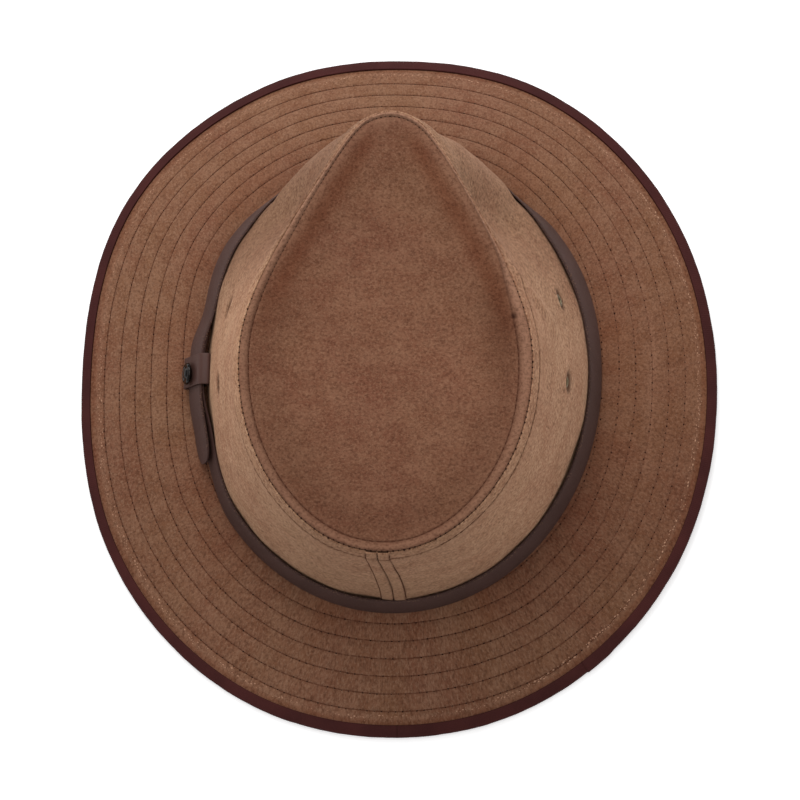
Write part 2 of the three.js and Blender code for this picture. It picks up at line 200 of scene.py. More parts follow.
def foot(angle, inset):
    """The foot of the wall: the oval moved in by the dent and by an inset."""
    away = np.abs(np.mod(angle, TURN) - foot_dent_angle)
    dent = foot_dent * (1 - ease(away, foot_dent_flat, foot_dent_span))
    return oval(angle) - foot_outward(angle) * (dent + inset)[..., None]


def tip_height(angle):
    """The rim's height: a cosine slope from front to back and a cosine-squared bow over the sides."""
    c = np.cos(np.radians(angle))
    slope = (tip_height_front - tip_height_back) / 2
    bow = (tip_height_front + tip_height_back) / 2 - tip_height_side
    return tip_height_side - slope * c + bow * c * c


def tip_rim(angle):
    """The rim of the tip: an oval whose half width is multiplied by the fullness column."""
    a = np.radians(angle)
    fullness = smooth_column(TIP_ROWS, "fullness", folded(angle))
    x = tip_aside + tip_width / 2 * np.sin(a) * fullness
    return point(x, tip_length / 2 * np.cos(a) - tip_forward, tip_height(angle))


def wall_height(angle):
    """The wall ends under the tip's edge."""
    return tip_height(angle) - tip_thickness - clearance


def wall(angle, share):
    """The wall's outer face: foot to rim on a power of the height, less the pinch, a bell round the crown
    times a cubic that is 1 at two thirds of the height."""
    from_front = TURN / 2 - folded(angle)
    steep = ease(from_front, wall_front_angle, wall_front_fade)
    curve = wall_front_curve + (wall_curve - wall_front_curve) * steep
    t = (share**curve)[..., None]
    at = foot(angle, np.zeros_like(t[..., 0])) * (1 - t) + tip_rim(angle) * t
    at[..., 2] = wall_height(angle) * share
    press = pinch_depth * bell(from_front, pinch_angle, pinch_span) * share * share * (1 - share) / (4 / 27)
    return at - foot_outward(angle) * press[..., None]


def crown_to_hat(at):
    """Turns points of the crown about the X axis by its lean and lifts them onto the brim."""
    c, s = np.cos(np.radians(crown_lean)), np.sin(np.radians(crown_lean))
    x, y, z = np.moveaxis(at, -1, 0)
    return point(x, y * c + z * s, z * c - y * s + crown_foot_rise)


tip_ends = tip_rim(np.array([0.0, 180.0]))[:, 1]
print("rim of the tip, front to back:", round(float(tip_ends[0] - tip_ends[1]), 4))

# %% [markdown]
# The brim falls away from the crown on a power of the distance, which gives it the soft flare of a worn
# hat. Its edge lies on the floor in front and behind and lifts at the sides. The sewing on it is measured
# along the leather, inwards from the edge, so the leather's length from the edge to the crown is worked
# out as well.


# %% Describe the brim
def brim_edge_height(angle):
    """Height of the middle of the edge: a share of half the bound edge, plus the lift column."""
    bound = brim_thickness / 2 + clearance + tape_thickness
    lift = smooth_column(BRIM_ROWS, "lift", np.mod(angle, TURN), True)
    return tape_rest_share * bound + brim_side_lift * np.maximum(0, lift)


def brim_top(angle, share):
    """The upper face, from under the wall at share 0 to the edge at share 1; its height falls on a
    power."""
    inner = foot(angle, np.full(np.shape(angle), wall_thickness))
    inner[..., 2] = -clearance
    inner = crown_to_hat(inner)
    plain = oval(angle)
    length = np.linalg.norm(plain, axis=-1)
    reach = brim_reach * smooth_column(BRIM_ROWS, "reach", np.mod(angle, TURN), True)
    edge = plain * ((length + reach) / length)[..., None]
    edge[..., 2] = brim_edge_height(angle) + brim_thickness / 2
    s = share[..., None]
    at = inner * (1 - s) + edge * s
    at[..., 2] = inner[..., 2] + (edge[..., 2] - inner[..., 2]) * share**brim_curve
    return at


def brim_length(angle):
    """Length of the upper face from the edge to under the wall: the sum of 24 short chords."""
    shares = np.linspace(0, 1, 25)
    chords = np.diff(brim_top(angle[..., None], shares), axis=-2)
    return np.linalg.norm(chords, axis=-1).sum(-1)


def surface_frame(shape, angle, share):
    """The point of a surface, the direction round the hat and the outward normal, from small steps both
    ways."""
    nearby, near_share = 0.25, 0.004
    around = shape(angle + nearby, share) - shape(angle - nearby, share)
    higher = shape(angle, np.clip(share + near_share, 0, 1))
    across = higher - shape(angle, np.clip(share - near_share, 0, 1))
    return shape(angle, share), unit(around), unit(np.cross(around, across))


solid_steps = 80
own_angles = np.arange(solid_steps) * TURN / solid_steps
own_edge = brim_top(own_angles, np.ones(solid_steps))
solid_low, solid_high = (np.array(corner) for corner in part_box("brim"))
hat_shift = (solid_low + solid_high) / 2 - (own_edge.min(0) + own_edge.max(0)) / 2
hat_shift[2] = 0
print("shift from the crown's own middle to the hat's:", np.round(hat_shift, 5))

# %% [markdown]
# A sewn sheet has two faces and edges of a real thickness, so each piece is made as one closed skin. The
# builder of meshes below takes any points and four-cornered faces, joins the points that meet, drops the
# faces that have shrunk to nothing and gives each point its marks. A mark is a number per vertex, such as
# how dark a groove is, which the material reads later. That keeps wear and sewing where they are on the
# surface.


# %% Make the builder of meshes
def grid_faces(columns, rows, shift=0, first=0):
    """Faces of a grid whose points run row by row inside each column. The last column meets the first
    one, with its rows moved by shift, so that a spiral row can run on into the next turn."""
    i = np.arange(columns)[:, None]
    j = np.arange(rows - 1)[None, :]
    beyond = np.where(i == columns - 1, shift, 0)
    low, high = np.minimum(j + beyond, rows - 1), np.minimum(j + 1 + beyond, rows - 1)
    after = (i + 1) % columns
    corners = [i * rows + j, after * rows + low, after * rows + high, i * rows + j + 1]
    return first + np.stack(np.broadcast_arrays(*corners), -1).reshape(-1, 4)


def strip_faces(one, other):
    """Faces between two closed lines of points with equal counts."""
    after = np.roll(np.arange(len(one)), -1)
    return np.stack([one, other, other[after], one[after]], -1)


def ring_faces(columns, rows):
    """Faces of a ring whose section is a closed line: each point with the next one of its column, and the
    same two points of the next column. Both ways round, the last meets the first."""
    index = np.arange(columns * rows).reshape(columns, rows)
    after = np.roll(index, -1, 0)
    return np.stack([index, after, np.roll(after, -1, 1), np.roll(index, -1, 1)], -1)


other_way = [0, 3, 2, 1]
same_place = 1e-7


def put_mesh(name, points, faces, marks, material):
    """A mesh object from points, faces of four corners, of which two may be one, and marks. Points nearer
    than a ten-thousandth of a millimetre are joined, and a skin whose faces point in is turned round."""
    whole = np.round(points / same_place).astype(np.int64)
    _, first, joined = np.unique(whole, axis=0, return_index=True, return_inverse=True)
    faces = joined.reshape(-1)[faces]
    if volume(points[first], faces) < 0:
        faces = faces[:, ::-1]
    keep = faces != np.roll(faces, -1, axis=1)
    sides = keep.sum(1)
    crossed = (faces[:, 0] == faces[:, 2]) | (faces[:, 1] == faces[:, 3])
    good = (sides >= 3) & ~crossed
    faces, keep, sides = faces[good], keep[good], sides[good]
    corners = faces[keep]
    used, corners = np.unique(corners, return_inverse=True)
    places = (points + hat_shift)[first][used]
    mesh = bpy.data.meshes.new(name)
    mesh.vertices.add(len(places))
    mesh.vertices.foreach_set("co", places.astype(np.float32).ravel())
    mesh.loops.add(len(corners))
    mesh.loops.foreach_set("vertex_index", corners.astype(np.int32).ravel())
    mesh.polygons.add(len(sides))
    mesh.polygons.foreach_set("loop_start", (np.cumsum(sides) - sides).astype(np.int32))
    mesh.update(calc_edges=True)
    mesh.polygons.foreach_set("use_smooth", np.ones(len(sides), bool))
    for mark, values in marks.items():
        values = np.broadcast_to(values, points.shape if np.ndim(values) > 1 else len(points))
        kind, field = ("FLOAT_VECTOR", "vector") if values.ndim > 1 else ("FLOAT", "value")
        layer = mesh.attributes.new(mark, kind, "POINT")
        layer.data.foreach_set(field, values[first][used].astype(np.float32).ravel())
    mesh.validate()
    piece = bpy.data.objects.new(name, mesh)
    bpy.context.scene.collection.objects.link(piece)
    mesh.materials.append(material)
    bulk = volume(points[first], faces) * 1e6
    print(f"{name}: {int((sides - 2).sum())} triangles, {unmatched(faces)} unmatched edges, {bulk:.2f} ml")
    return piece


def unmatched(faces):
    """How many edges are not walked once each way by two faces, which is none on a sound closed skin."""
    start, end = faces.ravel(), np.roll(faces, -1, axis=1).ravel()
    real = start != end
    most = faces.max() + 1
    ahead, back = (one[real] * most + other[real] for one, other in ((start, end), (end, start)))
    return len(np.setdiff1d(ahead, back)) + len(ahead) - len(np.unique(ahead))


def volume(places, faces):
    """Volume inside a closed skin, positive if its faces point out: each face makes two tetrahedra with
    the origin, of a sixth of a.(b x c) and a.(c x d)."""
    a, b, c, d = np.moveaxis(places[faces], 1, 0)
    return float((a * (np.cross(b, c) + np.cross(c, d))).sum() / 6)


def dress(piece, slot, *nodes):
    """Hangs a finished piece on the hat and hides the solids that it stands for; the slot is not used."""
    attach(piece, "root")
    if nodes:
        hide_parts(*nodes)
    return piece


# %% [markdown]
# Suede is the flesh side of leather, brushed to a nap. It has no gloss: fibres that lean away from the
# eye look dark, fibres that lean towards it look pale, and steep walls show a pale bloom. Its colour
# wanders in hand-sized clouds, in thumb-sized patches and in short flecks. The material mixes those
# scales of noise and adds a sheen for the bloom. It reads marks, most of which paint light into the
# colour: shade and its reddish twin dim the colour as painted shade but keep its flecks, the reddish one
# being partly the hide's own redder tone; pale lies under the flecks as a painted highlight; dark covers
# them as painted shade in a groove, a seam or a dent; and pitted opens the grain's dark pores. The hide
# mark isn't a strength but a place, the lie of the nap, from which the noise is read.


# %% Make the helpers for materials
def linear(red, green, blue):
    """A colour from its 0 to 255 screen values, as the shader's linear ones."""
    c = np.array([red, green, blue]) / 255
    return (*np.where(c <= 0.04045, c / 12.92, ((c + 0.055) / 1.055) ** 2.4), 1.0)


class Finish:
    """A material and short words for adding nodes to it."""

    def __init__(self, name):
        self.material = bpy.data.materials.new(name)
        self.material.use_nodes = True
        self.tree = self.material.node_tree
        self.shader = self.tree.nodes["Principled BSDF"]

    def add(self, kind, **settings):
        """A node of a kind, with its settings."""
        node = self.tree.nodes.new(kind)
        for key, value in settings.items():
            setattr(node, key, value)
        return node

    def join(self, source, target):
        """A link from an output to an input."""
        self.tree.links.new(source, target)

    def mark(self, name, output="Fac"):
        """The values of a mark of the mesh."""
        return self.add("ShaderNodeAttribute", attribute_name=name).outputs[output]

    def noise(self, vector, scale, detail=3.0, roughness=0.55):
        """Noise read at a vector times the scale."""
        node = self.add("ShaderNodeTexNoise")
        node.inputs["Scale"].default_value = scale
        node.inputs["Detail"].default_value = detail
        node.inputs["Roughness"].default_value = roughness
        self.join(vector, node.inputs["Vector"])
        return node.outputs["Fac"]

    def span(self, value, low, high, out_low=0.0, out_high=1.0):
        """A value stretched from one span to another."""
        node = self.add("ShaderNodeMapRange")
        numbers = {"From Min": low, "From Max": high, "To Min": out_low, "To Max": out_high}
        for socket, number in numbers.items():
            node.inputs[socket].default_value = number
        self.join(value, node.inputs["Value"])
        return node.outputs["Result"]

    def math(self, operation, one, other):
        """One operation on two values, each a number or an output."""
        node = self.add("ShaderNodeMath", operation=operation)
        for socket, value in zip(node.inputs, (one, other)):
            if isinstance(value, (int, float)):
                socket.default_value = value
            else:
                self.join(value, socket)
        return node.outputs[0]

    def mix(self, factor, one, other, blend="MIX"):
        """Two colours mixed by a factor, or blended another way."""
        node = self.add("ShaderNodeMix", data_type="RGBA", blend_type=blend)
        for socket, value in zip((node.inputs[0], node.inputs[6], node.inputs[7]), (factor, one, other)):
            if isinstance(value, (int, float, tuple)):
                socket.default_value = value
            else:
                self.join(value, socket)
        return node.outputs[2]

    def bump(self, height, distance, strength=1.0, after=None):
        """A normal tilted by a height, on top of another one."""
        node = self.add("ShaderNodeBump")
        node.inputs["Distance"].default_value = distance
        node.inputs["Strength"].default_value = strength
        self.join(height, node.inputs["Height"])
        if after:
            self.join(after, node.inputs["Normal"])
        return node.outputs["Normal"]

    def set(self, **numbers):
        """The shader's inputs that are plain values."""
        for key, value in numbers.items():
            self.shader.inputs[key.replace("_", " ")].default_value = value


# Both tints multiply the colour as painted shade; the warm one reddens it as well, and is partly the hide's
# own redder tone.
WARM_SHADE_TINT = (0.86, 0.66, 0.58, 1.0)
SHADE_TINT = (0.30, 0.25, 0.23, 1.0)
# Pale of painted highlights: on the rolled rims, the pinches' ridges, the puckers of the edge row and a few
# lit sides.
painted_highlight_nap = linear(180, 138, 114)
# Dark of painted shade in grooves, seams, eyelet dents and where the rim rolls into the seam.
painted_recess_shade = linear(52, 26, 17)
# The colour of raw cut edges, of joints and of deeper thread, and also painted shade on the strap's back.
raw_edge_and_shade = linear(42, 22, 16)


def suede(name, colours, patch, fleck, sheen):
    """Four colours (deep, reddish, tan and pale) mixed by noise on the lie of the hide, then changed by
    the marks."""
    deep, reddish, tan, pale = (linear(*colour) for colour in colours)
    f = Finish(name)
    hide = f.mark("hide", "Vector")
    clouds = f.span(f.noise(hide, 20, 4, 0.6), 0.38, 0.62)
    patches = f.span(f.noise(hide, 120, 4, 0.65), 0.40, 0.62)
    dark_flecks = f.span(f.noise(hide, 850, 3, 0.75), 0.44, 0.64)
    pale_flecks = f.span(f.noise(hide, 1150, 3, 0.75), 0.48, 0.66)
    place = f.add("ShaderNodeTexCoord").outputs["Object"]
    pits = f.math("MULTIPLY", f.span(f.noise(place, 800, 2, 0.5), 0.54, 0.60), f.mark("pitted"))
    colour = f.mix(clouds, reddish, tan)
    colour = f.mix(f.math("MULTIPLY", patches, patch), colour, pale)
    colour = f.mix(f.mark("pale"), colour, painted_highlight_nap)
    colour = f.mix(f.math("MULTIPLY", dark_flecks, fleck), colour, deep)
    colour = f.mix(f.math("MULTIPLY", pale_flecks, fleck), colour, pale)
    colour = f.mix(pits, colour, deep)
    colour = f.mix(f.mark("warm_shade"), colour, WARM_SHADE_TINT, "MULTIPLY")
    colour = f.mix(f.mark("shade"), colour, SHADE_TINT, "MULTIPLY")
    colour = f.mix(f.mark("dark"), colour, painted_recess_shade)
    f.join(colour, f.shader.inputs["Base Color"])
    soft = f.bump(f.noise(hide, 800, 4, 0.7), 0.00025, 0.5)
    nap = f.bump(f.noise(hide, 3000, 2, 0.6), 0.00012, 0.6, soft)
    f.join(nap, f.shader.inputs["Normal"])
    f.set(Roughness=0.95, Specular_IOR_Level=0.1)
    f.set(Sheen_Weight=sheen, Sheen_Roughness=0.5, Sheen_Tint=linear(190, 150, 125))
    return f.material


BRIM_COLOURS = [(72, 42, 29), (118, 76, 57), (122, 84, 61), (152, 116, 93)]
TIP_COLOURS = [(70, 39, 26), (116, 73, 55), (120, 81, 60), (150, 111, 87)]
# The wall's colours are lighter than the tip's: partly its leather, partly painted sheen, the pale bloom of
# nap seen edge-on.
WALL_COLOURS_WITH_BLOOM = [(98, 62, 44), (160, 114, 87), (168, 129, 99), (204, 165, 133)]
brim_hide = suede("brushed_brim", BRIM_COLOURS, 0.3, 0.55, 0.25)
tip_hide = suede("brushed_tip", TIP_COLOURS, 0.3, 0.55, 0.2)
wall_hide = suede("brushed_wall", WALL_COLOURS_WITH_BLOOM, 0.4, 0.7, 0.15)
print("hides:", brim_hide.name, tip_hide.name, wall_hide.name)

# %% [markdown]
# The tape is a plain dark grosgrain with fine ribs across it, matt but for a faint shine on each rib. The
# strap is smooth, finished leather with a tight grain and a soft gloss, and its cut upper edge is raw and
# dark. The stud is black enamelled metal and the eyelets are dulled brass.


# %% Make the finishes of the trim
def plain_grain(name, colour, second, scale, depth, roughness, worn=(112, 96, 84), **numbers):
    """Two close colours mixed by noise, a fine bump, and roughness that wanders and grows where the dark
    mark lies. The dark mark mixes the colour towards that of raw edges, joints and deeper thread, and on
    the strap's back it is painted shade."""
    f = Finish(name)
    place = f.add("ShaderNodeTexCoord").outputs["Object"]
    cloud = f.span(f.noise(place, 60, 3), 0.35, 0.65)
    fine = f.noise(place, scale, 3)
    mixed = f.mix(f.math("MULTIPLY", cloud, 0.7), linear(*colour), linear(*second))
    mixed = f.mix(f.math("MULTIPLY", f.mark("dark"), 0.85), mixed, raw_edge_and_shade)
    mixed = f.mix(f.math("MULTIPLY", f.mark("pale"), 0.6), mixed, linear(*worn))
    f.join(mixed, f.shader.inputs["Base Color"])
    gloss = f.span(fine, 0.3, 0.7, roughness - 0.06, roughness + 0.06)
    f.join(f.math("ADD", gloss, f.math("MULTIPLY", f.mark("dark"), 0.4)), f.shader.inputs["Roughness"])
    f.join(f.bump(fine, depth, 0.6), f.shader.inputs["Normal"])
    f.set(**numbers)
    return f.material


matt, satin = {"Specular_IOR_Level": 0.12}, {"Specular_IOR_Level": 0.24}
fuzzy = {"worn": (134, 92, 70), "Specular_IOR_Level": 0.12}
ribbed_tape = plain_grain("ribbed_tape", (70, 34, 32), (57, 27, 26), 2600, 0.00006, 0.85, **matt)
smooth_strap = plain_grain("smooth_strap", (76, 51, 45), (66, 43, 37), 1500, 0.00005, 0.56, **satin)
stud_enamel = plain_grain("stud_enamel", (20, 18, 17), (28, 24, 21), 900, 0.00001, 0.2, Metallic=0.6)
dulled_brass = plain_grain("dulled_brass", (132, 120, 96), (70, 60, 46), 800, 0.00003, 0.35, Metallic=1.0)
brown_thread = plain_grain("brown_thread", (100, 58, 40), (80, 43, 29), 3000, 0.00004, 0.85, **fuzzy)
needle_hole_shade = plain_grain("needle_hole_shade", (46, 22, 14), (34, 15, 10), 3000, 0.00002, 0.95, **matt)
pucker_highlight = plain_grain("pucker_highlight", (184, 142, 116), (156, 114, 90), 3000, 0.00004, 0.9, **matt)
strap_fibre = plain_grain("strap_fibre", (140, 106, 88), (84, 58, 46), 3000, 0.00002, 0.9, **matt)
print("materials:", len(bpy.data.materials))

# %% [markdown]
# The brim is two layers of suede held by one long spiral of sewing. The row of stitches pulls the layers
# together, so it lies in a groove and the leather swells a little between rows. A plain ring grid would
# cross the spiral and blur its groove. Here the lines of the grid follow the spiral instead, and where a
# turn closes each line meets the one a whole row further in. Points outside the edge are drawn back to
# it, where they join.

# %% Lay out the spiral of the brim
spiral_start = 320.0
first_row = 0.0083
row_pitch = 0.0079
first_line, lines_laid, sewn_rows = -2, 10, 7
SPIRAL_ROWS = {
    "angle": [0, 20, 40, 90, 130, 175, 220, 265, 310, 340, 360],
    "advance": [0, 0.27, 0.29, 0.25, 0.26, 0.55, 0.8, 0.76, 0.76, 0.86, 1],
}
groove_width = 0.00036
groove_depth = 0.0004
swell = 0.00022
swell_gap = 0.0018
COVERED_GROOVE = {"angle": [270], "span": [34], "strength": [0.75]}
brim_columns = 680
brim_radius = 0.14


def spiral_advance(angle):
    """How far in the spiral has come since its start, on its way to one row pitch after a whole turn."""
    gone = np.mod(angle - spiral_start, TURN)
    return row_pitch * smooth_column(SPIRAL_ROWS, "advance", gone)


def pulled_in(angle):
    """How much of the groove is left: the nap has covered most of it on the wearer's right."""
    return 1 - round_patches(angle, COVERED_GROOVE)


def spiral_lines(offsets):
    """Places of the grid's lines at the spiral's start, their offsets from their row, and if it is sewn."""
    row = first_line + np.arange(lines_laid)
    line = first_row + row[:, None] * row_pitch + np.array(offsets)[None, :]
    sewn = np.broadcast_to((row >= 0) & (row < sewn_rows), (len(offsets), len(row))).T
    return line.ravel(), np.tile(offsets, len(row)), sewn.ravel()


def brim_face(offsets, under):
    """One face of the brim: its points, their distances in from the edge, how deep each lies in a groove,
    and the round angles of the columns."""
    line, offset, sewn = spiral_lines(offsets)
    angle = spiral_start + np.arange(brim_columns) * TURN / brim_columns
    length = brim_length(angle)[:, None]
    distance = np.clip(line[None, :] + spiral_advance(angle)[:, None], 0, length)
    inside = ease(distance, 0, 0.004) * ease(length - distance, 0, 0.001)
    groove = np.where(sewn, bell(offset, 0, groove_width), 0) * inside
    groove = groove * pulled_in(angle)[:, None]
    middle, _, up = surface_at(angle[:, None] + 0 * distance, 1 - distance / length)
    puff = swell * (1 - bell(offset, 0, swell_gap)) * inside
    rise = puff - groove_depth * groove
    if under:
        rise = -brim_thickness - 0.7 * rise
    return middle + up * rise[..., None], distance, groove, angle


def surface_at(angle, share):
    """Brim point and directions at given shares, with the normal turned upwards."""
    at, around, normal = surface_frame(brim_top, angle, share)
    return at, around, normal * np.where(normal[..., 2:3] < 0, -1, 1)


nap_radius = 0.12
BRUSHED_BACK = {"angle": [350], "span": [65], "strength": [0.45]}


def brim_lie(angle, distance):
    """The lie of the nap on the brim: the angle wound round a circle and the distance, pressed short
    behind, so that noise comes out drawn along the way from crown to edge there."""
    a = np.radians(angle)
    squeeze = 0.9 - round_patches(angle, BRUSHED_BACK)
    return point(nap_radius * np.sin(a), nap_radius * np.cos(a), squeeze * distance)


def wander(angle, radius, seed, count, longest):
    """A soft random wave along a circle of a radius round the hat."""
    return waves(np.radians(angle) * radius, seed, count, longest)


# %% [markdown]
# With the lines laid out, the brim is two such faces, finer above than below, joined by narrow strips at
# the edge and under the crown. The marks paint shade in the grooves, towards the crown, beside the tape
# and at the back and the right, and paint pale highlights along the edge row and in a streak on the right.

# %% Make the brim
top_offsets = [-0.0029, -0.0017, -0.0008, -0.00036, 0, 0.00036, 0.0008, 0.0017, 0.0029]
under_offsets = [-0.0024, -0.0006, 0, 0.0006, 0.0024]
BRIM_SHADES = {"angle": [304, 54], "span": [36, 32], "strength": [0.28, 0.18]}
BRIM_STREAK = {"angle": [268], "span": [24], "strength": [0.16]}
BRIM_WARM_SHADE = {"angle": [276], "span": [36], "strength": [0.3]}


def make_brim():
    """The brim as one closed skin: an upper and a lower face on the spiral's grid, joined at the edge and
    under the crown, and both with the marks."""
    top, top_distance, top_groove, angle = brim_face(top_offsets, False)
    low, low_distance, low_groove, _ = brim_face(under_offsets, True)
    rows, low_rows = top.shape[1], low.shape[1]
    first_low = brim_columns * rows
    column = np.arange(brim_columns)
    faces = [
        grid_faces(brim_columns, rows, len(top_offsets))[:, ::-1],
        grid_faces(brim_columns, low_rows, len(under_offsets), first_low),
        strip_faces(first_low + column * low_rows, column * rows),
        strip_faces(column * rows + rows - 1, first_low + column * low_rows + low_rows - 1),
    ]
    distance = np.concatenate([top_distance.ravel(), low_distance.ravel()])
    groove = np.concatenate([top_groove.ravel(), low_groove.ravel()])
    around = np.concatenate([np.repeat(angle, rows), np.repeat(angle, low_rows)])
    # Painted light on the brim: dark paints shade in the grooves, shade paints it towards the crown and at
    # the back corners, the reddish mark paints shade near the crown, beside the tape and on the right, and
    # pale paints highlights along the edge row and in a streak on the right.
    streak = bell(distance, 0.0295 + 0.002 * wander(around, brim_radius, 13, 3, 0.1), 0.0016)
    near_crown = ease(distance, 0.03, 0.055) * (0.25 + 0.25 * wander(around, brim_radius, 11, 5, 0.1))
    near_tape = 0.4 * ease(distance, 0.0072, 0.006)
    marks = {
        "hide": brim_lie(around, distance),
        "dark": 0.12 * groove,
        "shade": 0.12 * ease(distance, 0.044, 0.056) + round_patches(around, BRIM_SHADES),
        "pale": 0.12 * bell(distance, 0.0076, 0.001) + streak * round_patches(around, BRIM_STREAK),
        "warm_shade": near_crown + near_tape + round_patches(around, BRIM_WARM_SHADE),
    }
    points = np.concatenate([top.reshape(-1, 3), low.reshape(-1, 3)])
    return put_mesh("brim_leather", points, np.concatenate(faces), marks, brim_hide)


dress(make_brim(), "suede", "brim")

# %% [markdown]
# Stitches are real thread, not a drawn line. Each stitch is a short rod that dives into the leather at
# both ends. One function makes any run of them: it walks along a line at equal steps, and at each step it
# puts a rod of six sides and five sections, all in one array. Thousands of stitches are then one mesh of
# a few dozen faces each.


# %% Make the helper for stitches
def evenly(line, pitch, *others):
    """Places that lie one pitch apart along a line of points, and the values of the other arrays
    there."""
    run = np.concatenate([[0], np.cumsum(np.linalg.norm(np.diff(line, axis=0), axis=1))])
    count = int(run[-1] // pitch)
    stops = np.arange(count + 1) * pitch
    return [np.stack([np.interp(stops, run, v) for v in value.T], -1) for value in (line, *others)]


STITCH_SECTIONS = {
    "along": [0.0, 0.16, 0.5, 0.84, 1.0],
    "thick": [0.45, 0.95, 1.0, 0.95, 0.45],
    "rise": [-1.3, 0.25, 0.6, 0.25, -1.3],
}


def stitches(line, up, pitch=0.0032, gap=0.00045, radius=0.0002, jitter=0.1, seed=1):
    """Points and faces of a run of stitches on a line whose leather faces up. Each rod is a ring of six
    points carried along five sections, with a cap of two faces on each end."""
    stops, raised = evenly(line, pitch, up)
    start, end = stops[:-1], stops[1:]
    normal = unit(raised[:-1] + raised[1:])
    along = unit(end - start)
    side = unit(np.cross(along, normal))
    draw = np.random.default_rng(seed)
    stray = draw.uniform(-jitter, jitter, (len(start), 2, 1)) * radius * 4
    start = start + along * gap / 2 + side * stray[:, 0]
    end = end - along * gap / 2 + side * stray[:, 1]
    share = np.array(STITCH_SECTIONS["along"])[None, :, None]
    middle = start[:, None] * (1 - share) + end[:, None] * share
    middle = middle + normal[:, None] * (radius * np.array(STITCH_SECTIONS["rise"]))[None, :, None]
    a = np.arange(6) * np.pi / 3
    cosine, sine = np.cos(a)[:, None], np.sin(a)[:, None]
    ring = side[:, None, None] * cosine + normal[:, None, None] * sine
    thick = (radius * np.array(STITCH_SECTIONS["thick"]))[None, :, None, None]
    points = middle[:, :, None] + ring * thick
    sections, sides = points.shape[1:3]
    i, j = np.meshgrid(np.arange(sections - 1), np.arange(sides), indexing="ij")
    k = (j + 1) % sides
    corners = [i * sides + j, i * sides + k, (i + 1) * sides + k, (i + 1) * sides + j]
    body = np.stack(corners, -1).reshape(-1, 4)
    last = (sections - 1) * sides
    foot_caps = np.array([[3, 2, 1, 0], [5, 4, 3, 0]])
    head_caps = last + np.array([[0, 1, 2, 3], [0, 3, 4, 5]])
    one = np.concatenate([body, foot_caps, head_caps])
    faces = one[None] + (np.arange(len(points)) * sections * sides)[:, None, None]
    return points.reshape(-1, 3), faces.reshape(-1, 4)


def beads(line, up, pitch, length=0.0008, width=0.0005, height=0.0002, spread=0.0, seed=1, keep=1.0):
    """Points and faces of a run of small beads, each a pointed block of six corners: dark ones paint the
    shade in needle holes, pale ones paint highlights on the suede that puckers beside a stitch. Spread is
    how far they stray sideways, keep the share kept."""
    stops, raised = evenly(line, pitch, up)
    draw = np.random.default_rng(seed)
    along = unit(np.gradient(stops, axis=0))
    normal = unit(raised)
    side = unit(np.cross(along, normal))
    size = draw.uniform(0.7, 1.2, (len(stops), 1)) / 2
    middle = stops + side * draw.normal(0, 1, (len(stops), 1)) * spread
    ways = [along * length, side * width, normal * height]
    points = np.stack([middle + way * size * sign for way in ways for sign in (1, -1)], 1)
    points = points[draw.uniform(0, 1, len(points)) < keep]
    one = [[a, b, c, c] if turn else [b, a, c, c] for a, b, c, turn in BEAD_CORNERS]
    faces = np.array(one)[None] + (6 * np.arange(len(points)))[:, None, None]
    return points.reshape(-1, 3), faces.reshape(-1, 4)


BEAD_CORNERS = [(a, 2 + b, 4 + c, (a + b + c) % 2 == 0) for a in (0, 1) for b in (0, 1) for c in (0, 1)]


def gather(parts):
    """Several runs of points and faces as one."""
    firsts = np.cumsum([0] + [len(points) for points, _ in parts[:-1]])
    every_point = np.concatenate([points for points, _ in parts])
    return every_point, np.concatenate([faces + first for (_, faces), first in zip(parts, firsts)])


RUBBED_THREAD = {"angle": [270], "span": [34], "strength": [1.0]}


def thread_piece(name, parts, material, slot, rubbed=0.0, dark=0.0):
    """Runs of stitches as one piece that stands for no solid of its own. Rubbed says how much of the
    thread has taken the colour of the suede on the wearer's right, and dark how much deeper its colour
    is."""
    points, faces = gather(parts)
    angle = np.degrees(np.arctan2(points[:, 0], points[:, 1]))
    pale = rubbed * round_patches(angle, RUBBED_THREAD)
    return dress(put_mesh(name, points, faces, {"dark": dark, "pale": pale}, material), slot)


# %% [markdown]
# The brim's spiral is sewn with thread of the hide's own colour, about three stitches a centimetre. From
# above the needle's holes show more than the thread, so their shade is painted on small dark beads.
# Along the tape runs a finer row, where the suede puckers between the stitches, and small pale beads
# there paint the highlights on the puckers.

# %% Sew the brim
stitch_pitch = 0.0032
edge_pitch = 0.0021
sewn_turns = 6.4
points_a_turn = 720
sunk_share = 0.55
edge_row = 0.0078
EDGE_BOWS = {"angle": [180, 312], "span": [45, 18], "strength": [0.0011, 0.0009]}


def spiral_path(turns, under):
    """The line of the spiral over a number of turns: its distance in grows by the advance and one pitch a
    turn."""
    gone = np.linspace(0, turns * TURN, int(turns * points_a_turn), endpoint=False)
    angle = spiral_start + gone
    distance = first_row + row_pitch * np.floor(gone / TURN) + spiral_advance(angle)
    distance += 0.00012 * waves(gone / TURN * 0.9, 21, 6, 0.05)
    at, _, up = surface_at(angle, 1 - distance / brim_length(angle))
    depth = (groove_depth * sunk_share * pulled_in(angle))[:, None]
    if under:
        return at - up * (brim_thickness - 0.7 * depth), -up
    return at - up * depth, up


def edge_path():
    """The ring of pale thread near the tape, which ends where the spiral starts."""
    angle = spiral_start + np.linspace(1.2, TURN - 1.2, 900)
    distance = edge_row + round_patches(angle, EDGE_BOWS)
    distance += 0.00015 * wander(angle, brim_radius, 5, 6, 0.05)
    at, _, up = surface_at(angle, 1 - distance / brim_length(angle))
    return at + up * 0.00002, up


